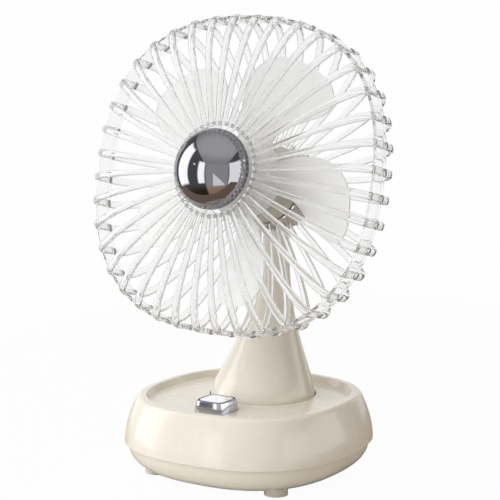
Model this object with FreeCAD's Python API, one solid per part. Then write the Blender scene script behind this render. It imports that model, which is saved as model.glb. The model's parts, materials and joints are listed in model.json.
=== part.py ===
import FreeCAD, Part
import math
import os

# Battery desk fan. Millimetres, +Z up, origin at the centre of the base on the table plane.
# The fan faces -Y. Head parts are drawn level, axis on -Y, then pitched up and lifted into place.

Vec = FreeCAD.Vector
UP = Vec(0, 0, 1)
FRONT = Vec(0, -1, 0)
SIDE = Vec(1, 0, 0)
ORIGIN = Vec(0, 0, 0)

# ---- fits ----
seat_gap = 0.3
run_gap = 0.08
thrust_gap = 0.05
hole_gap = 0.15
overrun = 1.0

# ---- base: rounded-square plan, four curved walls meeting in soft corners ----
plan_power = 2.45
plan_points = 48
seam_half = 71.9
seam_z = 19.6
lower_wall_half = 70.9
lower_wall_z = 29.0
upper_wall_half = 68.2
upper_wall_z = 38.5
rim_half = 64.1
base_height = 47.9
rim_flat = 4.6
rim_round = 3.0
recess_depth = 3.8
recess_slope = 2.0
shell_wall = 2.4
recess_half = rim_half - rim_flat
floor_z = base_height - recess_depth
ceiling_z = floor_z - shell_wall

# ---- bowl under the seam ----
bowl_half = 69.8
bowl_flat_half = 42.0
bowl_bottom_z = 1.2
bowl_roundness = 0.9
bowl_steps = 6
bowl_top_z = seam_z - seat_gap
lip_height = 2.2
lip_wall = 1.4

# ---- feet ----
foot_x = 42.5
foot_y = 38.5
foot_radius = 7.0
foot_top_z = 4.6
foot_roof = 1.6

# ---- screws through the bowl ----
case_screw_x = 55.0
case_screw_y = 14.0
case_screw_radius = 1.5
case_head_radius = 2.8
case_head_height = 1.8
case_seat_z = 7.0
case_screw_length = 16.0
case_boss_radius = 4.2
case_boss_z = 17.0
pillar_top_z = case_boss_z - seat_gap

# ---- neck: circular sections that shrink and drift back as they rise ----
neck_y = 15.6
neck_foot_radius = 32.5
neck_lower_z = 54.0
neck_lower_radius = 29.5
neck_lower_shift = 1.2
neck_flare_z = 62.5
neck_flare_radius = 25.8
neck_flare_shift = 3.4
neck_waist_z = 76.7
neck_waist_radius = 19.9
neck_waist_shift = 6.6
neck_middle_z = 100.0
neck_middle_radius = 12.3
neck_middle_shift = 12.0
neck_upper_z = 126.0
neck_upper_radius = 8.9
neck_upper_shift = 14.4
neck_top_z = 147.0
neck_wall = 2.4
neck_skin = 1.1
neck_hollow_top_z = 118.0
wire_bore_radius = 1.7

# ---- removable cover on the back of the neck ----
cover_face_y = 35.6
cover_low_z = 54.0
cover_high_z = 112.0
cover_ledge = 1.6

# ---- swivel under the neck ----
well_depth = 4.1
well_gap = 0.5
well_plate = 3.0
swivel_bore_radius = 24.0
cable_bore_radius = 15.0
wear_ring_height = 0.8
wear_ring_inner = 25.5
wear_ring_outer = 31.0
retainer_height = 2.2
retainer_radius = 28.0
retainer_screw_count = 3
retainer_screw_circle = 19.5
retainer_screw_radius = 1.3
retainer_head_radius = 2.4
retainer_head_height = 1.4
retainer_screw_length = 7.0
well_z = floor_z - well_depth
foot_z = well_z + wear_ring_height + thrust_gap
plate_z = well_z - well_plate
retainer_z = plate_z - thrust_gap

# ---- head frame ----
head_y = -11.8
head_z = 181.4
head_pitch = 13.3
pivot_y = neck_y + neck_upper_shift
pivot_z = 140.0
tilt_down = 15.0
tilt_up = 15.0

# ---- tilt hinge ----
tongue_radius = 5.6
tongue_half = 3.3
tongue_gap = 0.4
washer_height = 0.6
washer_radius = 4.4
pin_radius = 1.6
pin_head_radius = 3.0
pin_head_height = 1.7
pin_head_in = 8.3
nut_across = 5.5
nut_height = 2.2
socket_across = 2.0
socket_depth = 1.0
web_half_depth = 5.0
swing_gap = 0.6
slot_half = tongue_half + washer_height + thrust_gap

# ---- motor pod ----
pod_radius = 24.5
pod_wall = 2.2
pod_front_w = -10.0
pod_joint_w = -29.0
pod_back_w = -60.0
pod_back_round = 5.0
pod_front_round = 1.2
pod_boss_radius = 3.4
pod_screw_count = 4
pod_screw_radius = 1.3
pod_head_radius = 2.4
pod_head_height = 1.6
pod_screw_seat_w = -50.0
pod_screw_tip_w = -20.0
pod_screw_phase = 45.0

# ---- guards: rounded-square outline, domed ribs that wrap over the rim ----
guard_power = 2.42
guard_half_x = 96.0
guard_half_z = 94.4
guard_wall = 2.0
guard_points = 64
band_back_w = 0.6
band_front_w = 11.3
rear_ring_front_w = 0.3
rear_ring_back_w = -2.0
rib_count = 40
rib_width = 3.6
rib_depth = 3.4
rib_inset = 2.6
rib_curve_points = 9
rib_power = 2.6
rib_root = 26.0
lobe_proud = 0.6
shoulder_w = 12.0
front_crown_w = 27.9
rear_lobe_w = -1.4
rear_lobe_proud = 1.2
rear_shoulder_w = -6.0
hub_ring_outer = 27.8
hub_ring_inner = 19.0
hub_ring_height = 3.2
rear_hub_radius = 28.4
rear_hub_height = 2.6
rear_hub_bore = 9.0

# ---- cap on the front hub ----
cap_radius = 23.9
cap_height = 20.6
cap_wall = 1.4
cap_skirt = 2.2
cap_skirt_radius = 18.9
cap_clip_height = 1.6
cap_clip_radius = 22.5
cap_clip_post = 5.0
cap_clip_screw_radius = 1.2

# ---- impeller ----
blade_count = 5
blade_phase = -12.0
blade_mid_w = -2.0
blade_thickness = 1.5
blade_tip_reach = 77.4
blade_root_reach = 23.6
blade_waist_reach = 50.0
blade_shoulder_reach = 69.0
blade_corner_reach = 76.0
blade_root_high = 31.0
blade_root_low = -10.0
blade_waist_high = 27.0
blade_waist_low = -14.0
blade_shoulder_high = 19.0
blade_shoulder_low = -17.0
blade_corner_high = 9.5
blade_corner_low = -11.5
blade_root_pitch = 33.0
blade_tip_pitch = 22.0
blade_sections = 4
blade_overlap = 3.0
hub_radius = 24.3
hub_front_w = 5.5
hub_back_w = -8.7
hub_wall = 1.8
hub_round = 4.0
hub_boss_radius = 5.0
insert_radius = 3.0
insert_length = 9.0
insert_back_w = -7.5

# ---- motor ----
shaft_radius = 1.6
shaft_front_w = 1.5
shaft_back_w = -30.6
bearing_outer = 4.5
bearing_height = 3.0
bearing_front_w = -15.6
tube_outer = 6.0
mount_rim_gap = 0.5
mount_height = 1.6
board_post_radius = 1.0
board_post_circle = 10.5
board_post_count = 3
stator_core_radius = 7.4
stator_front_w = -17.4
stator_height = 5.2
stator_teeth = 6
tooth_half = 1.5
shoe_depth = 1.0
shoe_half = 4.6
coil_build = 1.2
rotor_inner = 14.0
rotor_clearance = 0.6
rotor_wall = 1.2
rotor_front_w = -13.4
rotor_back_w = -24.2
rotor_collar_radius = 3.2
magnet_wall = 1.8
air_gap = 0.6
magnet_front_w = -16.0
driver_board_outer = 13.0
driver_board_inner = 7.0
driver_board_height = 1.2
driver_board_w = -26.2
clip_radius = 2.8
clip_height = 0.8

# ---- push button ----
button_y = -36.7
button_half = 10.75
button_power = 4.6
button_top_z = 51.0
button_wall = 1.3
button_flange = 1.0
button_flange_height = 1.5
button_travel = 1.2
button_edge = 1.0
collar_wall = 1.6
guide_depth = 4.6
stem_radius = 2.5
seat_plate_height = 1.5
seat_screw_x = 14.6
seat_screw_radius = 1.0
seat_head_radius = 1.9
seat_head_height = 1.1
seat_screw_length = 5.0
seat_boss_radius = 2.8
spring_radius = 4.0
spring_wire = 0.4
spring_turns = 6
spring_arcs = 4

# ---- control board and switch ----
board_z = 26.9
board_height = 1.6
board_half_x = 31.0
board_front_y = -52.0
board_back_y = -16.0
board_screw_inset = 4.0
board_screw_radius = 1.0
board_head_radius = 1.9
board_head_height = 1.1
board_screw_length = 6.0
board_boss_radius = 2.6
switch_half = 3.0
switch_height = 3.5
plunger_radius = 1.7
plunger_height = 0.8

# ---- cells ----
cell_radius = 9.2
cell_length = 65.0
cell_z = 16.4
cell_front_y = -32.5
cell_pitch = 20.0
cell_nub_radius = 2.7
cell_nub = 1.2
holder_margin = 1.6
holder_floor_z = 6.4
holder_height = 9.0
holder_end = 2.2
holder_foot_radius = 3.0
holder_foot_x = 20.0

# ---- counterweight ----
weight_radius = 19.0
weight_y = 25.0
weight_height = 5.0
weight_z = 4.2
weight_pin_radius = 2.0

# ---- charging inlet ----
inlet_half_width = 4.5
inlet_height = 3.2
inlet_length = 7.4
inlet_wall = 0.35
inlet_z = 27.2
inlet_face = 1.2
inlet_mouth_margin = 1.0
inlet_tongue_half = 3.3
inlet_tongue_height = 0.7
inlet_tongue_length = 4.6
charge_board_half_x = 10.0
charge_board_depth = 14.0
charge_board_height = 1.2
charge_boss_x = 7.0
charge_boss_radius = 2.4


# ---- drawing helpers ----
def squircle_radius(half, power, angle):
    along = abs(math.cos(angle)) ** power
    across = abs(math.sin(angle)) ** power
    return half / (along + across) ** (1 / power)


def closed_curve(points):
    curve = Part.BSplineCurve()
    curve.interpolate(points, PeriodicFlag=True)
    return Part.Wire([curve.toShape()])


def squircle_wire(half, power, count, height=0.0, centre_y=0.0):
    points = []
    for step in range(count):
        angle = 2 * math.pi * step / count
        reach = squircle_radius(half, power, angle)
        points.append(Vec(reach * math.cos(angle), centre_y + reach * math.sin(angle), height))
    return closed_curve(points)


def squircle_prism(half, power, count, low, high, centre_y=0.0):
    face = Part.Face(squircle_wire(half, power, count, low, centre_y))
    return face.extrude(UP * (high - low))


def disc(radius, low, high, x=0.0, y=0.0):
    return Part.makeCylinder(radius, high - low, Vec(x, y, low), UP)


def block(x0, x1, y0, y1, z0, z1):
    return Part.makeBox(x1 - x0, y1 - y0, z1 - z0, Vec(x0, y0, z0))


def drum(radius, w_back, w_front, x=0.0, z=0.0):
    return Part.makeCylinder(radius, w_front - w_back, Vec(x, -w_back, z), FRONT)


def hex_prism(across, start, direction, length):
    corner = across / math.sqrt(3)
    points = []
    for step in range(7):
        angle = math.radians(60 * step)
        points.append(Vec(corner * math.cos(angle), corner * math.sin(angle), 0))
    prism = Part.Face(Part.makePolygon(points)).extrude(UP * length)
    prism.Placement = FreeCAD.Placement(start, FreeCAD.Rotation(UP, direction))
    return prism


def screw(start, direction, length, radius, head_radius, head_height):
    shank = Part.makeCylinder(radius, length, start, direction)
    head = Part.makeCylinder(head_radius, head_height, start - direction * head_height, direction)
    socket_start = start - direction * head_height
    socket = hex_prism(head_radius, socket_start, direction, head_height / 2)
    return shank.fuse(head).cut(socket)


def fused(pieces):
    body = pieces[0]
    for piece in pieces[1:]:
        body = body.fuse(piece)
    return body


def on_head(shape):
    placed = shape.copy()
    placed.rotate(ORIGIN, SIDE, -head_pitch)
    placed.translate(Vec(0, head_y, head_z))
    return placed


def save(shape, name):
    shape.exportStep("parts/" + name + ".step")


def mirrored_pair(shape):
    return [shape, shape.mirror(ORIGIN, SIDE)]


# ---- base shells ----
def base_loft(inset, low, high):
    sections = []
    for half, height in (
        (seam_half, seam_z),
        (lower_wall_half, lower_wall_z),
        (upper_wall_half, upper_wall_z),
        (rim_half, base_height),
    ):
        sections.append(squircle_wire(half - inset, plan_power, plan_points, height))
    body = Part.makeLoft(sections, True, False)
    return body.common(block(-base_reach, base_reach, -base_reach, base_reach, low, high)).Solids[0]


def bowl_section(step, inset):
    angle = math.pi / 2 * step / bowl_steps
    span = bowl_half - bowl_flat_half
    drop = bowl_top_z - bowl_bottom_z
    half = bowl_flat_half + span * math.cos(angle) ** bowl_roundness
    height = bowl_top_z - drop * math.sin(angle) ** bowl_roundness
    lift = inset * math.sin(angle)
    return squircle_wire(half - inset, plan_power, plan_points, height + lift)


def bowl_loft(inset):
    sections = []
    for step in range(bowl_steps + 1):
        sections.append(bowl_section(step, inset))
    return Part.makeLoft(sections, True, False)


def case_points():
    points = []
    for x in (-case_screw_x, case_screw_x):
        for y in (-case_screw_y, case_screw_y):
            points.append((x, y))
    return points


def foot_points():
    points = []
    for x in (-foot_x, foot_x):
        for y in (-foot_y, foot_y):
            points.append((x, y))
    return points


def board_points():
    points = []
    for x in (-board_half_x + board_screw_inset, board_half_x - board_screw_inset):
        for y in (board_front_y + board_screw_inset, board_back_y - board_screw_inset):
            points.append((x, y))
    return points


mount_front_w = pod_joint_w + mount_height
mount_radius = pod_radius - pod_wall - mount_rim_gap
rotor_outer = rotor_inner + rotor_wall
stator_radius = rotor_inner - magnet_wall - air_gap
pod_screw_circle = rotor_outer + rotor_clearance + pod_boss_radius
pod_seat_w = pod_joint_w - rear_hub_height
front_ring_back_w = front_crown_w - hub_ring_height
guide_z = floor_z - shell_wall - guide_depth
seat_plate_z = guide_z - seat_plate_height
board_top_z = board_z + board_height
plunger_z = board_top_z + switch_height + plunger_height
stem_z = plunger_z + button_travel + thrust_gap
base_reach = max(seam_half, lower_wall_half, upper_wall_half, rim_half) + overrun
inlet_share = (inlet_z - seam_z) / (lower_wall_z - seam_z)
inlet_mouth_y = seam_half + (lower_wall_half - seam_half) * inlet_share - inlet_face
inlet_back_y = inlet_mouth_y - inlet_length
charge_board_z = inlet_z - inlet_height / 2 - charge_board_height


def make_base_top():
    body = base_loft(0, seam_z, base_height)
    rim_edges = [edge for edge in body.Edges if edge.CenterOfMass.z > base_height - rim_round / 2]
    body = body.makeFillet(min(rim_round, rim_flat), rim_edges)
    body = body.cut(base_loft(shell_wall, seam_z - overrun, ceiling_z))
    floor_wire = squircle_wire(recess_half - recess_slope, plan_power, plan_points, floor_z)
    rim_wire = squircle_wire(recess_half, plan_power, plan_points, base_height)
    body = body.cut(Part.makeLoft([floor_wire, rim_wire], True, True))
    added = [disc(neck_foot_radius + well_gap + shell_wall, plate_z, floor_z, 0, neck_y)]
    added.append(squircle_prism(button_half + button_flange + run_gap + collar_wall,
                                button_power, plan_points, guide_z, floor_z, button_y))
    for x in (-seat_screw_x, seat_screw_x):
        added.append(disc(seat_boss_radius, guide_z, floor_z, x, button_y))
    for x, y in case_points():
        added.append(disc(case_boss_radius, case_boss_z, floor_z, x, y))
    for x, y in board_points():
        added.append(disc(board_boss_radius, board_top_z, floor_z, x, y))
    for x in (-charge_boss_x, charge_boss_x):
        added.append(disc(charge_boss_radius, charge_board_z + charge_board_height, floor_z, x, charge_boss_y()))
    body = fused([body] + added)
    cuts = [disc(neck_foot_radius + well_gap, well_z, floor_z + overrun, 0, neck_y)]
    cuts.append(disc(swivel_bore_radius, plate_z - overrun, floor_z, 0, neck_y))
    cuts.append(squircle_prism(button_half + run_gap, button_power, plan_points,
                               guide_z - overrun, floor_z + overrun, button_y))
    cuts.append(squircle_prism(button_half + button_flange + run_gap, button_power, plan_points,
                               guide_z - overrun, ceiling_z, button_y))
    for x, y in case_points():
        cuts.append(disc(case_screw_radius, case_boss_z - overrun, case_boss_z + case_screw_length, x, y))
    for x, y in board_points():
        cuts.append(disc(board_screw_radius, board_top_z - overrun, board_top_z + board_screw_length, x, y))
    for x in (-charge_boss_x, charge_boss_x):
        low = charge_board_z + charge_board_height
        cuts.append(disc(board_screw_radius, low - overrun, charge_board_z + board_screw_length, x, charge_boss_y()))
    for x in (-seat_screw_x, seat_screw_x):
        cuts.append(disc(seat_screw_radius, guide_z - overrun, guide_z + seat_screw_length, x, button_y))
    mouth = inlet_half_width + inlet_mouth_margin
    mouth_z = inlet_height / 2 + inlet_mouth_margin
    cuts.append(block(-inlet_half_width - hole_gap, inlet_half_width + hole_gap, inlet_back_y, base_reach,
                      inlet_z - inlet_height / 2 - hole_gap, inlet_z + inlet_height / 2 + hole_gap))
    cuts.append(block(-mouth, mouth, inlet_mouth_y, base_reach, inlet_z - mouth_z, inlet_z + mouth_z))
    return body.cut(cuts[0].multiFuse(cuts[1:]))


def make_base_bottom():
    body = bowl_loft(0).cut(bowl_loft(shell_wall))
    lip_outer = bowl_half - shell_wall + lip_wall
    lip_low = bowl_top_z - shell_wall
    lip = squircle_prism(lip_outer, plan_power, plan_points, lip_low, bowl_top_z + lip_height)
    lip = lip.cut(squircle_prism(lip_outer - lip_wall, plan_power, plan_points, lip_low - overrun,
                                 bowl_top_z + lip_height + overrun))
    body = body.fuse(lip)
    added = []
    for x, y in case_points():
        added.append(disc(case_boss_radius, bowl_bottom_z, pillar_top_z, x, y))
    for x, y in foot_points():
        added.append(disc(foot_radius + foot_roof, bowl_bottom_z, foot_top_z + foot_roof, x, y))
    for x in (-holder_foot_x, holder_foot_x):
        for index in range(2):
            added.append(disc(holder_foot_radius, bowl_bottom_z + shell_wall / 2, holder_floor_z,
                              x, cell_front_y + index * cell_pitch))
    for x in (-weight_radius / 2, weight_radius / 2):
        added.append(disc(weight_pin_radius, bowl_bottom_z + shell_wall / 2, weight_z + weight_height, x, weight_y))
    body = fused([body] + [piece.common(bowl_loft(0)) for piece in added])
    body = body.fuse(block(-weight_radius / 2, weight_radius / 2, weight_y - weight_pin_radius,
                           weight_y + weight_pin_radius, bowl_bottom_z + shell_wall / 2, weight_z))
    cuts = []
    for x, y in case_points():
        cuts.append(disc(case_screw_radius + hole_gap, 0, pillar_top_z + overrun, x, y))
        cuts.append(disc(case_head_radius + hole_gap, 0, case_seat_z, x, y))
    for x, y in foot_points():
        cuts.append(disc(foot_radius + hole_gap, 0, foot_top_z, x, y))
    return body.cut(cuts[0].multiFuse(cuts[1:]))


def make_feet():
    return Part.makeCompound([disc(foot_radius, 0, foot_top_z, x, y) for x, y in foot_points()])


def make_case_screws():
    screws = []
    for x, y in case_points():
        screws.append(screw(Vec(x, y, case_seat_z), UP, case_screw_length, case_screw_radius,
                            case_head_radius, case_head_height))
    return Part.makeCompound(screws)


# ---- battery, boards and inlet ----
def cell_rows():
    return [cell_front_y, cell_front_y + cell_pitch]


def make_cells():
    cells = []
    facing = 1
    for y in cell_rows():
        can = Part.makeCylinder(cell_radius, cell_length, Vec(-cell_length / 2, y, cell_z), SIDE)
        nub = Part.makeCylinder(cell_nub_radius, cell_nub, Vec(facing * cell_length / 2, y, cell_z), SIDE * facing)
        cells.append(can.fuse(nub))
        facing = -facing
    return Part.makeCompound(cells)


def make_cell_holder():
    rows = cell_rows()
    half_x = cell_length / 2 + cell_nub + seat_gap + holder_end
    reach = cell_radius + holder_margin
    tray = block(-half_x, half_x, rows[0] - reach, rows[-1] + reach, holder_floor_z, holder_floor_z + holder_height)
    room = cell_length / 2 + cell_nub + seat_gap
    for y in rows:
        trough = Part.makeCylinder(cell_radius + seat_gap, 2 * room, Vec(-room, y, cell_z), SIDE)
        tray = tray.cut(trough)
    return tray


def make_control_board():
    board = block(-board_half_x, board_half_x, board_front_y, board_back_y, board_z, board_top_z)
    for x, y in board_points():
        board = board.cut(disc(board_screw_radius + hole_gap, board_z - overrun, board_top_z + overrun, x, y))
    return board


def make_board_screws():
    screws = []
    for x, y in board_points():
        screws.append(screw(Vec(x, y, board_z), UP, board_screw_length, board_screw_radius,
                            board_head_radius, board_head_height))
    return Part.makeCompound(screws)


def make_switch():
    body = block(-switch_half, switch_half, button_y - switch_half, button_y + switch_half,
                 board_top_z, board_top_z + switch_height)
    return body.fuse(disc(plunger_radius, board_top_z + switch_height, plunger_z, 0, button_y))


def make_inlet():
    low = inlet_z - inlet_height / 2
    high = inlet_z + inlet_height / 2
    shell = block(-inlet_half_width, inlet_half_width, inlet_back_y, inlet_back_y + inlet_length, low, high)
    upright = [edge for edge in shell.Edges if abs(edge.tangentAt(0).y) > 1 - thrust_gap]
    shell = shell.makeFillet(inlet_height / 2 - inlet_wall, upright)
    room = block(-inlet_half_width + inlet_wall, inlet_half_width - inlet_wall, inlet_back_y + inlet_wall,
                 inlet_back_y + inlet_length + overrun, low + inlet_wall, high - inlet_wall)
    tongue = block(-inlet_tongue_half, inlet_tongue_half, inlet_back_y + inlet_wall / 2,
                   inlet_back_y + inlet_tongue_length,
                   inlet_z - inlet_tongue_height / 2, inlet_z + inlet_tongue_height / 2)
    return shell.cut(room).fuse(tongue)


def charge_boss_y():
    return inlet_back_y - charge_board_depth / 3


def make_charge_board():
    back = inlet_back_y + inlet_length / 2
    board = block(-charge_board_half_x, charge_board_half_x, back - charge_board_depth, back,
                  charge_board_z, charge_board_z + charge_board_height)
    for x in (-charge_boss_x, charge_boss_x):
        board = board.cut(disc(board_screw_radius + hole_gap, charge_board_z - overrun, inlet_z, x, charge_boss_y()))
    return board


def make_charge_screws():
    start = Vec(charge_boss_x, charge_boss_y(), charge_board_z)
    one = screw(start, UP, board_screw_length, board_screw_radius, board_head_radius, board_head_height)
    return Part.makeCompound(mirrored_pair(one))


def make_counterweight():
    plate = disc(weight_radius, weight_z, weight_z + weight_height, 0, weight_y)
    for x in (-weight_radius / 2, weight_radius / 2):
        plate = plate.cut(disc(weight_pin_radius + hole_gap, weight_z - overrun, weight_z + weight_height + overrun,
                               x, weight_y))
    return plate


# ---- push button ----
def make_button_cap():
    flange_top = ceiling_z - seat_gap
    cap = squircle_prism(button_half, button_power, plan_points, flange_top - button_flange_height,
                         button_top_z, button_y)
    top_edges = [edge for edge in cap.Edges if edge.BoundBox.ZMin > button_top_z - thrust_gap]
    cap = cap.makeFillet(button_edge, top_edges)
    cap = cap.fuse(squircle_prism(button_half + button_flange, button_power, plan_points,
                                  flange_top - button_flange_height, flange_top, button_y))
    room = squircle_prism(button_half - button_wall, button_power, plan_points,
                          flange_top - button_flange_height - overrun, button_top_z - button_wall, button_y)
    return cap.cut(room)


def make_button_stem():
    return disc(stem_radius, stem_z, button_top_z - button_wall, 0, button_y)


def make_seat_plate():
    reach = seat_screw_x + seat_boss_radius
    half_y = button_half + button_flange
    plate = block(-reach, reach, button_y - half_y, button_y + half_y, seat_plate_z, guide_z)
    plate = plate.cut(disc(stem_radius + run_gap, seat_plate_z - overrun, guide_z + overrun, 0, button_y))
    for x in (-seat_screw_x, seat_screw_x):
        plate = plate.cut(disc(seat_screw_radius + hole_gap, seat_plate_z - overrun, guide_z + overrun, x, button_y))
    return plate


def make_seat_screws():
    start = Vec(seat_screw_x, button_y, seat_plate_z)
    one = screw(start, UP, seat_screw_length, seat_screw_radius, seat_head_radius, seat_head_height)
    return Part.makeCompound(mirrored_pair(one))


def make_button_spring():
    height = button_top_z - button_wall - guide_z - 2 * spring_wire
    rise = height / spring_turns / spring_arcs
    edges = []
    for step in range(spring_turns * spring_arcs):
        arc = Part.makeHelix(height / spring_turns, rise, spring_radius)
        arc.rotate(ORIGIN, UP, 360 * step / spring_arcs)
        arc.translate(UP * (rise * step))
        edges.extend(arc.Edges)
    section = Part.Wire([Part.Circle(Vec(spring_radius, 0, 0), FRONT, spring_wire).toShape()])
    coil = Part.Wire(Part.sortEdges(edges)[0]).makePipeShell([section], True, True)
    coil.translate(Vec(0, button_y, guide_z + spring_wire))
    return coil


# ---- swivel and neck ----
def neck_loft(inset, low, high):
    sections = []
    for height, radius, shift in (
        (foot_z, neck_foot_radius, 0),
        (neck_lower_z, neck_lower_radius, neck_lower_shift),
        (neck_flare_z, neck_flare_radius, neck_flare_shift),
        (neck_waist_z, neck_waist_radius, neck_waist_shift),
        (neck_middle_z, neck_middle_radius, neck_middle_shift),
        (neck_upper_z, neck_upper_radius, neck_upper_shift),
        (neck_top_z, neck_upper_radius, neck_upper_shift),
    ):
        centre = Vec(0, neck_y + shift, height)
        sections.append(Part.Wire([Part.Circle(centre, UP, radius - inset).toShape()]))
    body = Part.makeLoft(sections, True, False)
    reach = neck_foot_radius + overrun
    return body.common(block(-reach, reach, neck_y - reach, neck_y + reach, low, high))


def cover_region(margin, face):
    reach = neck_foot_radius + overrun
    return block(-reach, reach, cover_face_y + face, neck_y + reach, cover_low_z + margin, cover_high_z - margin)


def retainer_screw_points():
    points = []
    for step in range(retainer_screw_count):
        angle = 2 * math.pi * step / retainer_screw_count
        x = retainer_screw_circle * math.cos(angle)
        y = neck_y + retainer_screw_circle * math.sin(angle)
        points.append((x, y))
    return points


def pod_envelope(tilt):
    envelope = on_head(drum(pod_radius + swing_gap, pod_back_w - overrun, pod_joint_w))
    envelope.rotate(Vec(0, pivot_y, pivot_z), SIDE, tilt)
    return envelope


def make_neck():
    body = neck_loft(0, foot_z, neck_top_z)
    hollow_floor = floor_z + shell_wall
    body = body.cut(neck_loft(neck_wall, hollow_floor, neck_hollow_top_z))
    rebate = cover_region(0, 0).common(neck_loft(0, foot_z, neck_top_z).cut(neck_loft(neck_skin, foot_z, neck_top_z)))
    body = body.cut(rebate)
    body = body.cut(cover_region(cover_ledge, cover_ledge))
    body = body.fuse(disc(swivel_bore_radius - run_gap, retainer_z, foot_z, 0, neck_y))
    cuts = [disc(cable_bore_radius, retainer_z - overrun, hollow_floor + overrun, 0, neck_y)]
    cuts.append(disc(wire_bore_radius, neck_hollow_top_z - overrun, pivot_z, 0, pivot_y))
    for x, y in retainer_screw_points():
        cuts.append(disc(retainer_screw_radius, retainer_z - overrun,
                         retainer_z - retainer_height + retainer_screw_length + seat_gap, x, y))
    slot_radius = tongue_radius + tongue_gap
    cuts.append(Part.makeCylinder(slot_radius, 2 * slot_half, Vec(-slot_half, pivot_y, pivot_z), SIDE))
    cuts.append(block(-slot_half, slot_half, pivot_y - slot_radius, pivot_y + 2 * slot_radius, pivot_z, neck_top_z + overrun))
    cuts.append(Part.makeCylinder(pin_radius + run_gap, 4 * neck_upper_radius,
                                  Vec(-2 * neck_upper_radius, pivot_y, pivot_z), SIDE))
    head_seat = pin_head_in - pin_head_height
    cuts.append(Part.makeCylinder(pin_head_radius + hole_gap, neck_upper_radius, Vec(head_seat, pivot_y, pivot_z), SIDE))
    nut_seat = -pin_head_in + nut_height
    cuts.append(hex_prism(nut_across + 2 * hole_gap, Vec(nut_seat, pivot_y, pivot_z), SIDE * -1, neck_upper_radius))
    for tilt in (-tilt_up, 0, tilt_down):
        cuts.append(pod_envelope(tilt))
    return body.cut(cuts[0].multiFuse(cuts[1:]))


def make_neck_cover():
    skin = neck_loft(0, foot_z, neck_top_z).cut(neck_loft(neck_skin - thrust_gap, foot_z, neck_top_z))
    return skin.common(cover_region(seat_gap, seat_gap))


def make_wear_ring():
    ring = disc(wear_ring_outer, well_z, well_z + wear_ring_height, 0, neck_y)
    return ring.cut(disc(wear_ring_inner, well_z - overrun, well_z + overrun, 0, neck_y))


def make_retainer():
    low = retainer_z - retainer_height
    ring = disc(retainer_radius, low, retainer_z, 0, neck_y)
    ring = ring.cut(disc(cable_bore_radius, low - overrun, retainer_z + overrun, 0, neck_y))
    for x, y in retainer_screw_points():
        ring = ring.cut(disc(retainer_screw_radius + hole_gap, low - overrun, retainer_z + overrun, x, y))
    return ring


def make_retainer_screws():
    screws = []
    for x, y in retainer_screw_points():
        screws.append(screw(Vec(x, y, retainer_z - retainer_height), UP, retainer_screw_length,
                            retainer_screw_radius, retainer_head_radius, retainer_head_height))
    return Part.makeCompound(screws)


# ---- tilt hinge ----
def make_tilt_bolt():
    start = Vec(pin_head_in - pin_head_height, pivot_y, pivot_z)
    length = 2 * pin_head_in - pin_head_height
    shank = Part.makeCylinder(pin_radius, length, start, SIDE * -1)
    head = Part.makeCylinder(pin_head_radius, pin_head_height, start, SIDE)
    socket = hex_prism(socket_across, Vec(pin_head_in - socket_depth, pivot_y, pivot_z), SIDE, socket_depth + overrun)
    return shank.fuse(head).cut(socket)


def make_tilt_nut():
    start = Vec(-pin_head_in + nut_height, pivot_y, pivot_z)
    nut = hex_prism(nut_across, start, SIDE * -1, nut_height)
    return nut.cut(Part.makeCylinder(pin_radius + thrust_gap, 2 * nut_height, start + SIDE * nut_height / 2, SIDE * -1))


def make_tilt_washers():
    face = tongue_half + thrust_gap / 2
    washer = Part.makeCylinder(washer_radius, washer_height, Vec(face, pivot_y, pivot_z), SIDE)
    bore = Part.makeCylinder(pin_radius + run_gap, 2 * washer_height, Vec(tongue_half - thrust_gap, pivot_y, pivot_z), SIDE)
    return Part.makeCompound(mirrored_pair(washer.cut(bore)))


# ---- motor pod, drawn level with the axis on -Y ----
def head_local(y, z):
    angle = math.radians(head_pitch)
    dy = y - head_y
    dz = z - head_z
    return dy * math.cos(angle) - dz * math.sin(angle), dy * math.sin(angle) + dz * math.cos(angle)


def pod_screw_points():
    points = []
    for step in range(pod_screw_count):
        angle = math.radians(pod_screw_phase + 360 * step / pod_screw_count)
        points.append((pod_screw_circle * math.cos(angle), pod_screw_circle * math.sin(angle)))
    return points


def rim_edges(shape, w):
    chosen = []
    for edge in shape.Edges:
        box = edge.BoundBox
        if abs(box.YMin + w) < thrust_gap and abs(box.YMax + w) < thrust_gap and box.XLength > pod_radius:
            chosen.append(edge)
    return chosen


def make_pod_front():
    cup = drum(pod_radius, pod_joint_w, pod_front_w)
    cup = cup.makeFillet(pod_front_round, rim_edges(cup, pod_front_w))
    cup = cup.cut(drum(pod_radius - pod_wall, pod_joint_w - overrun, pod_front_w - pod_wall))
    bosses = [drum(pod_boss_radius, mount_front_w, pod_front_w - pod_wall / 2, x, z) for x, z in pod_screw_points()]
    cup = fused([cup] + [boss.common(drum(pod_radius, pod_joint_w, pod_front_w)) for boss in bosses])
    cup = cup.cut(drum(tube_outer, pod_front_w - 2 * pod_wall, pod_front_w + overrun))
    for x, z in pod_screw_points():
        cup = cup.cut(drum(pod_screw_radius, mount_front_w - overrun, pod_screw_tip_w + seat_gap, x, z))
    return on_head(cup)


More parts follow.
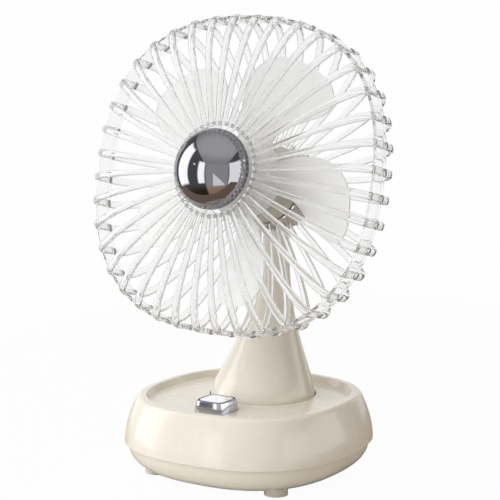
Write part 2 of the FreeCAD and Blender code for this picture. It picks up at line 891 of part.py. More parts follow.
def make_pod_back():
    cup = drum(pod_radius, pod_back_w, pod_seat_w)
    cup = cup.makeFillet(pod_back_round, rim_edges(cup, pod_back_w))
    outside = cup
    cup = cup.cut(drum(pod_radius - pod_wall, pod_back_w + pod_wall, pod_seat_w + overrun))
    bosses = [drum(pod_boss_radius, pod_back_w, pod_seat_w, x, z).common(outside) for x, z in pod_screw_points()]
    pivot_back, pivot_up = head_local(pivot_y, pivot_z)
    disc_shape = Part.makeCylinder(tongue_radius, 2 * tongue_half, Vec(-tongue_half, pivot_back, pivot_up), SIDE)
    web = block(-tongue_half, tongue_half, pivot_back - web_half_depth, pivot_back + web_half_depth,
                pivot_up, -pod_radius + pod_wall)
    cup = fused([cup, disc_shape, web] + bosses)
    cup = cup.cut(Part.makeCylinder(pin_radius + run_gap, 4 * tongue_half, Vec(-2 * tongue_half, pivot_back, pivot_up), SIDE))
    for x, z in pod_screw_points():
        cup = cup.cut(drum(pod_screw_radius + hole_gap, pod_back_w - overrun, pod_seat_w + overrun, x, z))
        cup = cup.cut(drum(pod_head_radius + hole_gap, pod_back_w - overrun, pod_screw_seat_w, x, z))
    return on_head(cup)


def make_pod_screws():
    screws = []
    for x, z in pod_screw_points():
        start = Vec(x, -pod_screw_seat_w, z)
        screws.append(screw(start, FRONT, pod_screw_tip_w - pod_screw_seat_w, pod_screw_radius,
                            pod_head_radius, pod_head_height))
    return on_head(Part.makeCompound(screws))


# ---- motor ----
def make_motor_mount():
    mount = drum(mount_radius, pod_joint_w, mount_front_w).fuse(drum(tube_outer, pod_joint_w, bearing_front_w))
    mount = mount.cut(drum(bearing_outer + thrust_gap / 2, pod_joint_w - overrun, bearing_front_w + overrun))
    for step in range(board_post_count):
        angle = 2 * math.pi * step / board_post_count
        x = board_post_circle * math.cos(angle)
        z = board_post_circle * math.sin(angle)
        mount = mount.fuse(drum(board_post_radius, pod_joint_w, driver_board_w, x, z))
    for x, z in pod_screw_points():
        mount = mount.cut(drum(pod_screw_radius + hole_gap, pod_joint_w - overrun, mount_front_w + overrun, x, z))
    return on_head(mount)


def make_bearings():
    bearings = []
    for w in (bearing_front_w - bearing_height, pod_joint_w):
        race = drum(bearing_outer, w, w + bearing_height)
        bearings.append(race.cut(drum(shaft_radius + thrust_gap / 2, w - overrun, w + bearing_height + overrun)))
    return on_head(Part.makeCompound(bearings))


def make_stator_core():
    back_w = stator_front_w - stator_height
    core = drum(stator_core_radius, back_w, stator_front_w)
    tooth = block(-tooth_half, tooth_half, -stator_front_w, -back_w, 0, stator_radius - shoe_depth / 2)
    shoe = block(-shoe_half, shoe_half, -stator_front_w, -back_w, stator_radius - 2 * shoe_depth, stator_radius)
    pole = tooth.fuse(shoe.common(drum(stator_radius, back_w, stator_front_w)))
    poles = []
    for step in range(stator_teeth):
        turned = pole.copy()
        turned.rotate(ORIGIN, FRONT, 360 * step / stator_teeth)
        poles.append(turned)
    core = fused([core] + poles)
    return on_head(core.cut(drum(tube_outer + thrust_gap / 2, back_w - overrun, stator_front_w + overrun)))


def make_stator_coils():
    back_w = stator_front_w - stator_height
    inner = tooth_half + thrust_gap
    outer = inner + coil_build
    low = stator_core_radius + thrust_gap
    high = stator_radius - 2 * shoe_depth - thrust_gap
    loop = block(-outer, outer, -stator_front_w - coil_build, -back_w + coil_build, low, high)
    loop = loop.cut(block(-inner, inner, -stator_front_w - thrust_gap, -back_w + thrust_gap, low - overrun, high + overrun))
    coils = []
    for step in range(stator_teeth):
        turned = loop.copy()
        turned.rotate(ORIGIN, FRONT, 360 * step / stator_teeth)
        coils.append(turned)
    return on_head(Part.makeCompound(coils))


def make_driver_board():
    board = drum(driver_board_outer, driver_board_w, driver_board_w + driver_board_height)
    return on_head(board.cut(drum(driver_board_inner, driver_board_w - overrun, stator_front_w)))


def make_rotor_cup():
    cup = drum(rotor_outer, rotor_back_w, rotor_front_w)
    cup = cup.cut(drum(rotor_inner, rotor_back_w - overrun, rotor_front_w - rotor_wall))
    cup = cup.fuse(drum(rotor_collar_radius, rotor_front_w - rotor_wall, rotor_front_w + rotor_wall))
    return on_head(cup.cut(drum(shaft_radius, rotor_back_w, rotor_front_w + 2 * rotor_wall)))


def make_ring_magnet():
    ring = drum(rotor_inner, rotor_back_w, magnet_front_w)
    return on_head(ring.cut(drum(rotor_inner - magnet_wall, rotor_back_w - overrun, magnet_front_w + overrun)))


def make_motor_shaft():
    return on_head(drum(shaft_radius, shaft_back_w, shaft_front_w))


def make_shaft_clip():
    top_w = pod_joint_w - thrust_gap
    clip = drum(clip_radius, top_w - clip_height, top_w)
    return on_head(clip.cut(drum(shaft_radius, top_w - 2 * clip_height, top_w + clip_height)))


# ---- impeller ----
def blade_point(reach, degrees):
    angle = math.radians(degrees)
    return Vec(reach * math.cos(angle), 0, reach * math.sin(angle))


def blade_outline():
    points = [
        blade_point(blade_root_reach, blade_root_low),
        blade_point(blade_waist_reach, blade_waist_low),
        blade_point(blade_shoulder_reach, blade_shoulder_low),
        blade_point(blade_corner_reach, blade_corner_low),
        blade_point(blade_tip_reach, (blade_corner_low + blade_corner_high) / 2),
        blade_point(blade_corner_reach, blade_corner_high),
        blade_point(blade_shoulder_reach, blade_shoulder_high),
        blade_point(blade_waist_reach, blade_waist_high),
        blade_point(blade_root_reach, blade_root_high),
    ]
    curve = Part.BSplineCurve()
    curve.interpolate(points)
    closing = Part.LineSegment(points[-1], points[0])
    return Part.Wire([curve.toShape(), closing.toShape()])


def blade_bar(reach, middle, pitch, half):
    angle = math.radians(middle)
    tilt = math.radians(pitch)
    centre = Vec(reach * math.cos(angle), -blade_mid_w, reach * math.sin(angle))
    along = Vec(-math.sin(angle) * math.cos(tilt), -math.sin(tilt), math.cos(angle) * math.cos(tilt))
    normal = Vec(math.sin(angle) * math.sin(tilt), -math.cos(tilt), -math.cos(angle) * math.sin(tilt))
    corners = []
    for side, lift in ((-1, -1), (1, -1), (1, 1), (-1, 1), (-1, -1)):
        corners.append(centre + along * (side * half) + normal * (lift * blade_thickness / 2))
    return Part.makePolygon(corners)


def make_blade():
    bars = []
    inner = blade_root_reach - blade_overlap
    outer = blade_tip_reach + blade_overlap
    root_middle = (blade_root_high + blade_root_low) / 2
    for step in range(blade_sections):
        share = step / (blade_sections - 1)
        reach = inner + (outer - inner) * share
        middle = root_middle * (1 - share)
        pitch = blade_root_pitch + (blade_tip_pitch - blade_root_pitch) * share
        bars.append(blade_bar(reach, middle, pitch, reach / 2 + blade_overlap))
    sheet = Part.makeLoft(bars, True, False)
    outline = Part.Face(blade_outline()).extrude(FRONT * 2 * hub_radius)
    outline.translate(FRONT * -hub_radius)
    return sheet.common(outline)


def make_impeller():
    hub = drum(hub_radius, hub_back_w, hub_front_w)
    hub = hub.makeFillet(hub_round, rim_edges(hub, hub_front_w))
    blade = make_blade()
    pieces = [hub]
    for step in range(blade_count):
        turned = blade.copy()
        turned.rotate(ORIGIN, Vec(0, 1, 0), -(blade_phase + 360 * step / blade_count))
        pieces.append(turned)
    body = pieces[0].multiFuse(pieces[1:])
    body = body.cut(drum(hub_radius - hub_wall, hub_back_w - hub_radius, hub_front_w - hub_wall))
    boss = drum(hub_boss_radius, hub_back_w, hub_front_w - hub_wall / 2)
    body = body.fuse(boss).cut(drum(insert_radius, hub_back_w - overrun, insert_back_w + insert_length))
    return on_head(body)


def make_impeller_insert():
    sleeve = drum(insert_radius, insert_back_w, insert_back_w + insert_length)
    return on_head(sleeve.cut(drum(shaft_radius, insert_back_w - overrun, shaft_front_w)))


# ---- guards ----
def rib_curve(start, end, crown, shoulder):
    points = []
    for step in range(rib_curve_points):
        share = math.sin(math.pi / 2 * step / (rib_curve_points - 1))
        reach = start + (end - start) * share
        w = shoulder + (crown - shoulder) * math.sqrt(max(0, 1 - share ** rib_power))
        points.append(Vec(reach, -w, 0))
    curve = Part.BSplineCurve()
    curve.interpolate(points)
    return curve.toShape(), points[0], points[-1]


def guard_reach(angle):
    along = abs(math.cos(angle) / guard_half_x) ** guard_power
    across = abs(math.sin(angle) / guard_half_z) ** guard_power
    return (along + across) ** (-1 / guard_power)


def guard_face(inset):
    points = []
    for step in range(guard_points):
        angle = 2 * math.pi * step / guard_points
        reach = guard_reach(angle) - inset
        points.append(Vec(reach * math.cos(angle), reach * math.sin(angle), 0))
    return Part.Face(closed_curve(points))


def make_rib(angle, crown, shoulder, lobe_w, proud, facing):
    rim = guard_reach(angle)
    outside = rim + proud
    inside = rim - rib_inset
    outer, outer_root, outer_end = rib_curve(rib_root, outside, crown, shoulder)
    inner, inner_root, inner_end = rib_curve(rib_root, inside, crown - facing * rib_depth,
                                             shoulder - facing * rib_depth / 2)
    lobe_outer = Vec(outside, -lobe_w, 0)
    lobe_inner = Vec(inside, -lobe_w, 0)
    edges = [outer]
    for start, end in ((outer_end, lobe_outer), (lobe_outer, lobe_inner), (lobe_inner, inner_end)):
        edges.append(Part.LineSegment(start, end).toShape())
    edges.append(inner)
    edges.append(Part.LineSegment(inner_root, outer_root).toShape())
    profile = Part.Face(Part.Wire(Part.sortEdges(edges)[0]))
    rib = profile.extrude(UP * (-facing * rib_width))
    rib.translate(UP * (facing * rib_width / 2))
    rib.rotate(ORIGIN, Vec(0, 1, 0), -math.degrees(angle))
    return rib


def make_ribs(crown, shoulder, lobe_w, proud, facing):
    ribs = []
    for step in range(rib_count):
        angle = 2 * math.pi * (step + 1 / 2) / rib_count
        ribs.append(make_rib(angle, crown, shoulder, lobe_w, proud, facing))
    return ribs


def guard_band(w_back, w_front):
    band = guard_face(0).cut(guard_face(guard_wall)).extrude(UP * (w_front - w_back))
    band.rotate(ORIGIN, SIDE, 90)
    band.translate(FRONT * w_back)
    return band


def make_front_guard():
    ring = drum(hub_ring_outer, front_ring_back_w, front_crown_w)
    ring = ring.cut(drum(hub_ring_inner, front_ring_back_w - overrun, front_crown_w + overrun))
    ribs = make_ribs(front_crown_w, shoulder_w, band_back_w, lobe_proud, 1)
    guard = ring.multiFuse([guard_band(band_back_w, band_front_w)] + ribs)
    return on_head(guard)


def make_rear_guard():
    hub = drum(rear_hub_radius, pod_seat_w, pod_joint_w)
    ribs = make_ribs(pod_seat_w, rear_shoulder_w, rear_lobe_w, rear_lobe_proud, -1)
    guard = hub.multiFuse([guard_band(rear_ring_back_w, rear_ring_front_w)] + ribs)
    guard = guard.cut(drum(rear_hub_bore, pod_seat_w - overrun, pod_joint_w + overrun))
    for x, z in pod_screw_points():
        guard = guard.cut(drum(pod_screw_radius + hole_gap, pod_seat_w - overrun, pod_joint_w + overrun, x, z))
    return on_head(guard)


# ---- cap on the front hub ----
def dome_edge(radius, height, reach_from, reach_to, base_w):
    arc = Part.Ellipse(ORIGIN, radius, height)
    edge = arc.toBSpline(math.acos(reach_from / radius), math.acos(reach_to / radius)).toShape()
    edge.translate(Vec(0, base_w, 0))
    return edge


def cap_edges(corners):
    points = [Vec(reach, w, 0) for reach, w in corners]
    return [Part.LineSegment(a, b).toShape() for a, b in zip(points, points[1:])]


def make_cap():
    base_w = front_crown_w
    inner_radius = cap_radius - cap_wall
    inner_height = cap_height - cap_wall
    skirt_inner = cap_skirt_radius - cap_wall
    skirt_top = base_w + inner_height * math.sqrt(1 - (skirt_inner / inner_radius) ** 2)
    post_top = base_w + inner_height * math.sqrt(1 - (cap_clip_post / inner_radius) ** 2)
    profile = [dome_edge(cap_radius, cap_height, cap_radius, 0, base_w)]
    profile += cap_edges([(0, base_w + cap_height), (0, base_w), (cap_clip_screw_radius, base_w),
                          (cap_clip_screw_radius, front_ring_back_w), (cap_clip_post, front_ring_back_w),
                          (cap_clip_post, post_top)])
    profile.append(dome_edge(inner_radius, inner_height, skirt_inner, cap_clip_post, base_w))
    profile += cap_edges([(skirt_inner, skirt_top), (skirt_inner, front_ring_back_w),
                          (cap_skirt_radius, front_ring_back_w), (cap_skirt_radius, base_w),
                          (cap_radius, base_w)])
    cap = Part.Face(Part.Wire(Part.__sortEdges__(profile))).revolve(ORIGIN, Vec(0, 1, 0), 360)
    cap.rotate(ORIGIN, SIDE, 180)
    return on_head(cap)


def make_cap_retainer():
    low = front_ring_back_w - cap_clip_height
    plate = drum(cap_clip_radius, low, front_ring_back_w)
    return on_head(plate.cut(drum(cap_clip_screw_radius + hole_gap, low - overrun, front_ring_back_w + overrun)))


def make_cap_screw():
    start = Vec(0, -(front_ring_back_w - cap_clip_height), 0)
    return on_head(screw(start, FRONT, cap_clip_height + hub_ring_height, cap_clip_screw_radius,
                         2 * cap_clip_screw_radius, cap_clip_screw_radius))


os.makedirs("parts", exist_ok=True)
save(make_base_top(), "base_top")
save(make_base_bottom(), "base_bottom")
save(make_feet(), "feet")
save(make_case_screws(), "case_screws")
save(make_cells(), "battery_cells")
save(make_cell_holder(), "battery_holder")
save(make_control_board(), "control_board")
save(make_board_screws(), "board_screws")
save(make_switch(), "tact_switch")
save(make_inlet(), "charge_inlet")
save(make_charge_board(), "charge_board")
save(make_charge_screws(), "charge_board_screws")
save(make_counterweight(), "counterweight")
save(make_button_cap(), "button_cap")
save(make_button_stem(), "button_stem")
save(make_seat_plate(), "button_seat_plate")
save(make_seat_screws(), "seat_plate_screws")
save(make_button_spring(), "button_spring")
save(make_wear_ring(), "swivel_wear_ring")
save(make_neck(), "neck_shell")
save(make_neck_cover(), "neck_cover")
save(make_retainer(), "swivel_retainer")
save(make_retainer_screws(), "retainer_screws")
save(make_tilt_bolt(), "tilt_bolt")
save(make_tilt_nut(), "tilt_nut")
save(make_tilt_washers(), "tilt_washers")
save(make_pod_front(), "pod_front")
save(make_pod_back(), "pod_back")
save(make_pod_screws(), "pod_screws")
save(make_motor_mount(), "motor_mount")
save(make_bearings(), "motor_bearings")
save(make_stator_core(), "stator_core")
save(make_stator_coils(), "stator_coils")
save(make_driver_board(), "driver_board")
save(make_rotor_cup(), "rotor_cup")
save(make_ring_magnet(), "ring_magnet")
save(make_motor_shaft(), "motor_shaft")
save(make_shaft_clip(), "shaft_clip")
save(make_impeller(), "impeller")
save(make_impeller_insert(), "impeller_insert")
save(make_front_guard(), "front_guard")
save(make_rear_guard(), "rear_guard")
save(make_cap(), "guard_cap")
save(make_cap_retainer(), "cap_retainer")
save(make_cap_screw(), "cap_screw")
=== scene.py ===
import json
import math

import bmesh
import bpy
from mathutils import Matrix, Vector


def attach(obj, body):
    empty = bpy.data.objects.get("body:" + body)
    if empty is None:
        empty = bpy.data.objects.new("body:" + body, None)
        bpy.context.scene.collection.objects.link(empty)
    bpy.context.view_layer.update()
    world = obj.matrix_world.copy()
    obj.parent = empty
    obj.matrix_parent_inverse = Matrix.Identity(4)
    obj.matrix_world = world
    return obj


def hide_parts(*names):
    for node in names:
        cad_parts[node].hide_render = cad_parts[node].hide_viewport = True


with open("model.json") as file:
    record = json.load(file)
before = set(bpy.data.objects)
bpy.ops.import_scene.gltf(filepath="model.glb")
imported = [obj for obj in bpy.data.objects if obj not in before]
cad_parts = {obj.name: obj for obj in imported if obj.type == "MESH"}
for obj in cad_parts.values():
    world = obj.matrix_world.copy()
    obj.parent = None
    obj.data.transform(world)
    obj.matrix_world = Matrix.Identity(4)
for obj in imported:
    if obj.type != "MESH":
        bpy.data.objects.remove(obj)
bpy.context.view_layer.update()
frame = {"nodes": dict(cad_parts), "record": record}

mm = 0.001
turn = 2 * math.pi
weldWithin = 1e-6  # metres

head = {"y": -11.8, "z": 181.4, "pitch": 13.3}  # where the air leaves, and how far the head leans back
headMatrix = Matrix.Translation((0, head["y"] * mm, head["z"] * mm)) @ Matrix.Rotation(
    math.radians(-head["pitch"]), 4, "X")


# meshes and objects
def place(name, mesh, body, materials, replaced):
    piece = bpy.data.objects.new(name, mesh)
    bpy.context.scene.collection.objects.link(piece)
    faces = [face.material_index for face in mesh.polygons]
    mesh.materials.clear()
    for material in materials:
        mesh.materials.append(material)
    mesh.polygons.foreach_set("material_index", faces)
    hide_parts(*replaced)
    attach(piece, body)


def meshFrom(name, points, faces, matrix=None, smooth=True):
    mesh = bpy.data.meshes.new(name)
    mesh.from_pydata(points, [], faces)
    if matrix:
        mesh.transform(matrix)
    shell = bmesh.new()
    shell.from_mesh(mesh)
    bmesh.ops.remove_doubles(shell, verts=shell.verts, dist=weldWithin)
    bmesh.ops.recalc_face_normals(shell, faces=shell.faces)
    shell.to_mesh(mesh)
    shell.free()
    mesh.polygons.foreach_set("use_smooth", [smooth] * len(mesh.polygons))
    return mesh


def squareReach(half, power, angle):
    along = abs(math.cos(angle)) ** power
    across = abs(math.sin(angle)) ** power
    return half / (along + across) ** (1 / power)


def ringStack(rings, count):  # rings are functions of an angle, giving points, and the last joins the first
    points, faces = [], []
    for ring in rings:
        points += [ring(turn * step / count) for step in range(count)]
    for span in range(len(rings)):
        low, high = span * count, (span + 1) % len(rings) * count
        for step in range(count):
            after = (step + 1) % count
            faces.append((low + step, low + after, high + after, high + step))
    return points, faces


def turnedRing(reach, w):  # a circle round the head's axis, in the level frame
    return lambda a: Vector((reach * math.cos(a), -w, reach * math.sin(a))) * mm


def squareRing(half, power, z, y):
    def at(a):
        reach = squareReach(half, power, a)
        return Vector((reach * math.cos(a), y + reach * math.sin(a), z)) * mm
    return at


def roundCorner(centre, radius, start, end, steps):  # points of an arc, as pairs, in degrees
    found = []
    for step in range(steps + 1):
        a = math.radians(start + (end - start) * step / steps)
        found.append((centre[0] + radius * math.cos(a), centre[1] + radius * math.sin(a)))
    return found


def ringProfile(ring):  # a flat ring with both outer edges rounded, as pairs of reach and w
    rim = ring["outer"] - ring["edge"]
    backEdge = roundCorner((rim, ring["back"] + ring["edge"]), ring["edge"], -90, 0, ring["edgeSteps"])
    frontEdge = roundCorner((rim, ring["front"] - ring["edge"]), ring["edge"], 0, 90, ring["edgeSteps"])
    return backEdge + frontEdge + [(ring["bore"], ring["front"]), (ring["bore"], ring["back"])]


def domeProfile(radius, height, base, pole, steps):
    quarter = math.pi / 2
    arc = [(math.cos(quarter * k / steps), math.sin(quarter * k / steps)) for k in range(steps + 1)]
    return [(max(radius * c, pole), base + height * s) for c, s in arc]


def turnedMesh(name, profile, count):
    points, faces = ringStack([turnedRing(reach, w) for reach, w in profile], count)
    return meshFrom(name, points, faces, headMatrix)


def joinedMesh(name, parts):  # parts are pairs of a mesh and the place of its material in the piece's list
    whole = bmesh.new()
    for mesh, index in parts:
        mesh.polygons.foreach_set("material_index", [index] * len(mesh.polygons))
        whole.from_mesh(mesh)
    made = bpy.data.meshes.new(name)
    whole.to_mesh(made)
    whole.free()
    made.polygons.foreach_set("use_smooth", [True] * len(made.polygons))
    return made


# node trees
def addNode(tree, kind, **settings):
    node = tree.nodes.new(kind)
    for key, value in settings.items():
        setattr(node, key, value)
    return node


def feed(tree, socket, value):
    if hasattr(value, "links"):
        tree.links.new(value, socket)
    else:
        socket.default_value = value


def calc(tree, operation, *values):
    node = addNode(tree, "ShaderNodeMath", operation=operation)
    for socket, value in zip(node.inputs, values):
        feed(tree, socket, value)
    return node.outputs[0]


def joined(tree, x, y, z):
    node = tree.nodes.new("ShaderNodeCombineXYZ")
    for socket, value in zip(node.inputs, (x, y, z)):
        feed(tree, socket, value)
    return node.outputs[0]


def geometryTree(name, sizes):  # sizes is a dictionary of input name to value
    tree = bpy.data.node_groups.new(name, "GeometryNodeTree")
    for key, value in sizes.items():
        kind = "NodeSocketInt" if isinstance(value, int) else "NodeSocketFloat"
        tree.interface.new_socket(name=key, in_out="INPUT", socket_type=kind)
    tree.interface.new_socket(name="Material", in_out="INPUT", socket_type="NodeSocketMaterial")
    tree.interface.new_socket(name="Geometry", in_out="OUTPUT", socket_type="NodeSocketGeometry")
    given = addNode(tree, "NodeGroupInput")
    return tree, {socket.name: socket for socket in given.outputs if socket.name}


def finishTree(tree, geometry, given):  # every tree ends in real geometry with its material
    smooth = addNode(tree, "GeometryNodeSetShadeSmooth")
    real = addNode(tree, "GeometryNodeRealizeInstances")
    dressed = addNode(tree, "GeometryNodeSetMaterial")
    out = addNode(tree, "NodeGroupOutput")
    tree.links.new(geometry, smooth.inputs["Geometry"])
    tree.links.new(smooth.outputs["Geometry"], real.inputs["Geometry"])
    tree.links.new(real.outputs["Geometry"], dressed.inputs["Geometry"])
    tree.links.new(given["Material"], dressed.inputs["Material"])
    tree.links.new(dressed.outputs["Geometry"], out.inputs[0])


def grownMesh(name, tree, sizes, material, matrix):  # runs a tree once and keeps the plain mesh
    holder = bpy.data.objects.new(name, bpy.data.meshes.new(name))
    bpy.context.scene.collection.objects.link(holder)
    grower = holder.modifiers.new("grow", "NODES")
    grower.node_group = tree
    for item in tree.interface.items_tree:
        if item.in_out == "INPUT" and item.name in sizes:
            grower[item.identifier] = sizes[item.name]
        if item.in_out == "INPUT" and item.name == "Material":
            grower[item.identifier] = material
    graph = bpy.context.evaluated_depsgraph_get()
    mesh = bpy.data.meshes.new_from_object(holder.evaluated_get(graph))
    holder.modifiers.remove(grower)
    bpy.data.objects.remove(holder)
    mesh.transform(matrix)
    mesh.name = name
    print(f"  {name}: {len(mesh.polygons)} faces")
    return mesh


def outlineReach(tree, given, angle):  # the rounded-square outline, a little wider than tall
    power = given["Power"]
    across = calc(tree, "DIVIDE", calc(tree, "ABSOLUTE", calc(tree, "COSINE", angle)), given["Half width"])
    upward = calc(tree, "DIVIDE", calc(tree, "ABSOLUTE", calc(tree, "SINE", angle)), given["Half height"])
    total = calc(tree, "ADD", calc(tree, "POWER", across, power), calc(tree, "POWER", upward, power))
    return calc(tree, "POWER", total, calc(tree, "DIVIDE", -1.0, power))


def roundedBar(tree, width, height, given):  # a bar's cross-section
    bar = addNode(tree, "GeometryNodeCurvePrimitiveQuadrilateral")
    feed(tree, bar.inputs["Width"], width)
    feed(tree, bar.inputs["Height"], height)
    fillet = addNode(tree, "GeometryNodeFilletCurve", mode="POLY")
    tree.links.new(bar.outputs[0], fillet.inputs["Curve"])
    feed(tree, fillet.inputs["Count"], given["Corner steps"])
    feed(tree, fillet.inputs["Radius"], given["Corner"])
    return fillet.outputs[0]


def swept(tree, curve, section):
    sweep = addNode(tree, "GeometryNodeCurveToMesh")
    tree.links.new(curve, sweep.inputs["Curve"])
    tree.links.new(section, sweep.inputs["Profile Curve"])
    sweep.inputs["Fill Caps"].default_value = True
    return sweep.outputs[0]


def ribTree(sizes):
    tree, given = geometryTree("guardRibs", sizes)
    line = addNode(tree, "GeometryNodeCurvePrimitiveLine")
    samples = addNode(tree, "GeometryNodeResampleCurve")
    tree.links.new(line.outputs[0], samples.inputs["Curve"])
    tree.links.new(given["Samples"], samples.inputs["Count"])
    copies = addNode(tree, "GeometryNodeDuplicateElements", domain="SPLINE")
    tree.links.new(samples.outputs[0], copies.inputs["Geometry"])
    tree.links.new(given["Ribs"], copies.inputs["Amount"])
    halfway = calc(tree, "ADD", copies.outputs["Duplicate Index"], 0.5)  # no rib stands on an axis
    angle = calc(tree, "DIVIDE", calc(tree, "MULTIPLY", halfway, turn), given["Ribs"])
    cosine, sine = calc(tree, "COSINE", angle), calc(tree, "SINE", angle)
    along = addNode(tree, "GeometryNodeSplineParameter").outputs["Factor"]
    domeShare = calc(tree, "SUBTRACT", 1.0, given["Lobe share"])
    t = calc(tree, "MINIMUM", calc(tree, "DIVIDE", along, domeShare), 1.0)
    past = calc(tree, "MAXIMUM", calc(tree, "SUBTRACT", along, domeShare), 0.0)
    lobe = calc(tree, "DIVIDE", past, given["Lobe share"])
    share = calc(tree, "SINE", calc(tree, "MULTIPLY", t, math.pi / 2))
    rim = calc(tree, "ADD", outlineReach(tree, given, angle), given["Proud"])
    span = calc(tree, "SUBTRACT", rim, given["Root"])
    reach = calc(tree, "ADD", given["Root"], calc(tree, "MULTIPLY", span, share))
    fall = calc(tree, "SUBTRACT", 1.0, calc(tree, "POWER", share, given["Dome power"]))
    rise = calc(tree, "SQRT", calc(tree, "MAXIMUM", fall, 0.0))
    height = calc(tree, "MULTIPLY", calc(tree, "SUBTRACT", given["Crown"], given["Shoulder"]), rise)
    drop = calc(tree, "MULTIPLY", calc(tree, "SUBTRACT", given["Shoulder"], given["Lobe end"]), lobe)
    w = calc(tree, "SUBTRACT", calc(tree, "ADD", given["Shoulder"], height), drop)
    # the bar is slim at the hub, wide at the rim, and closes in a round end
    growth = calc(tree, "SUBTRACT", given["Rim spread"], given["Root spread"])
    grown = calc(tree, "MULTIPLY", growth, calc(tree, "POWER", t, given["Spread power"]))
    spread = calc(tree, "ADD", given["Root spread"], grown)
    left = calc(tree, "SUBTRACT", 1.0, along)
    toEnd = calc(tree, "MINIMUM", calc(tree, "DIVIDE", left, given["End share"]), 1.0)
    closing = calc(tree, "SUBTRACT", 1.0, calc(tree, "POWER", calc(tree, "SUBTRACT", 1.0, toEnd), 2.0))
    rounded = calc(tree, "SQRT", calc(tree, "MAXIMUM", closing, 0.0))
    closed = calc(tree, "MAXIMUM", rounded, given["End size"])
    sized = addNode(tree, "GeometryNodeSetCurveRadius")
    tree.links.new(copies.outputs["Geometry"], sized.inputs["Curve"])
    tree.links.new(closed, sized.inputs["Radius"])
    aimed = addNode(tree, "GeometryNodeSetCurveNormal", mode="FREE")
    tree.links.new(sized.outputs[0], aimed.inputs["Curve"])
    tree.links.new(joined(tree, calc(tree, "MULTIPLY", sine, -1.0), 0.0, cosine), aimed.inputs["Normal"])
    moved = addNode(tree, "GeometryNodeSetPosition")
    tree.links.new(aimed.outputs[0], moved.inputs["Geometry"])
    spot = joined(tree, calc(tree, "MULTIPLY", reach, cosine), calc(tree, "MULTIPLY", w, -1.0),
                  calc(tree, "MULTIPLY", reach, sine))
    tree.links.new(spot, moved.inputs["Position"])
    kept = addNode(tree, "GeometryNodeCaptureAttribute", domain="POINT")
    for key, value in (("Angle", angle), ("Spread", calc(tree, "SUBTRACT", spread, 1.0))):
        kept.capture_items.new("FLOAT", key)
        tree.links.new(value, kept.inputs[key])
    tree.links.new(moved.outputs[0], kept.inputs["Geometry"])
    bars = swept(tree, kept.outputs["Geometry"], roundedBar(tree, given["Width"], given["Depth"], given))
    around = joined(tree, calc(tree, "MULTIPLY", calc(tree, "SINE", kept.outputs["Angle"]), -1.0), 0.0,
                    calc(tree, "COSINE", kept.outputs["Angle"]))
    offside = addNode(tree, "ShaderNodeVectorMath", operation="DOT_PRODUCT")
    tree.links.new(addNode(tree, "GeometryNodeInputPosition").outputs[0], offside.inputs[0])
    tree.links.new(around, offside.inputs[1])
    push = addNode(tree, "ShaderNodeVectorMath", operation="SCALE")
    tree.links.new(around, push.inputs[0])
    shift = calc(tree, "MULTIPLY", offside.outputs["Value"], kept.outputs["Spread"])
    tree.links.new(shift, push.inputs["Scale"])
    widened = addNode(tree, "GeometryNodeSetPosition")
    tree.links.new(bars, widened.inputs["Geometry"])
    tree.links.new(push.outputs[0], widened.inputs["Offset"])
    finishTree(tree, widened.outputs[0], given)
    return tree


def bandTree(sizes):
    tree, given = geometryTree("guardBand", sizes)
    loop = addNode(tree, "GeometryNodeCurvePrimitiveCircle")
    tree.links.new(given["Points"], loop.inputs["Resolution"])
    index = addNode(tree, "GeometryNodeInputIndex").outputs[0]
    angle = calc(tree, "DIVIDE", calc(tree, "MULTIPLY", index, turn), given["Points"])
    reach = calc(tree, "SUBTRACT", outlineReach(tree, given, angle), calc(tree, "DIVIDE", given["Wall"], 2.0))
    aimed = addNode(tree, "GeometryNodeSetCurveNormal", mode="FREE")
    tree.links.new(loop.outputs[0], aimed.inputs["Curve"])
    aimed.inputs["Normal"].default_value = (0, -1, 0)
    moved = addNode(tree, "GeometryNodeSetPosition")
    tree.links.new(aimed.outputs[0], moved.inputs["Geometry"])
    middle = calc(tree, "DIVIDE", calc(tree, "ADD", given["Back"], given["Front"]), -2.0)
    spot = joined(tree, calc(tree, "MULTIPLY", reach, calc(tree, "COSINE", angle)), middle,
                  calc(tree, "MULTIPLY", reach, calc(tree, "SINE", angle)))
    tree.links.new(spot, moved.inputs["Position"])
    section = roundedBar(tree, calc(tree, "SUBTRACT", given["Front"], given["Back"]), given["Wall"], given)
    finishTree(tree, swept(tree, moved.outputs[0], section), given)
    return tree


def dimpleTree(sizes):
    tree, given = geometryTree("hubDimples", sizes)
    loop = addNode(tree, "GeometryNodeCurvePrimitiveCircle")
    tree.links.new(given["Ring points"], loop.inputs["Resolution"])
    tree.links.new(given["Ring"], loop.inputs["Radius"])
    wire = addNode(tree, "GeometryNodeCurvePrimitiveCircle")
    tree.links.new(given["Bead points"], wire.inputs["Resolution"])
    tree.links.new(given["Bead"], wire.inputs["Radius"])
    ring = swept(tree, loop.outputs[0], wire.outputs[0])
    places = addNode(tree, "GeometryNodeCurvePrimitiveCircle")
    tree.links.new(given["Count"], places.inputs["Resolution"])
    tree.links.new(given["Circle"], places.inputs["Radius"])
    upright = addNode(tree, "GeometryNodeTransform")
    tree.links.new(places.outputs[0], upright.inputs["Geometry"])
    upright.inputs["Rotation"].default_value = (math.pi / 2, 0, 0)
    tree.links.new(joined(tree, 0.0, calc(tree, "MULTIPLY", given["Forward"], -1.0), 0.0),
                   upright.inputs["Translation"])
    dots = addNode(tree, "GeometryNodeCurveToPoints", mode="EVALUATED")
    tree.links.new(upright.outputs[0], dots.inputs["Curve"])
    scattered = addNode(tree, "GeometryNodeInstanceOnPoints")
    tree.links.new(dots.outputs["Points"], scattered.inputs["Points"])
    tree.links.new(ring, scattered.inputs["Instance"])
    scattered.inputs["Rotation"].default_value = (math.pi / 2, 0, 0)
    finishTree(tree, scattered.outputs[0], given)
    return tree


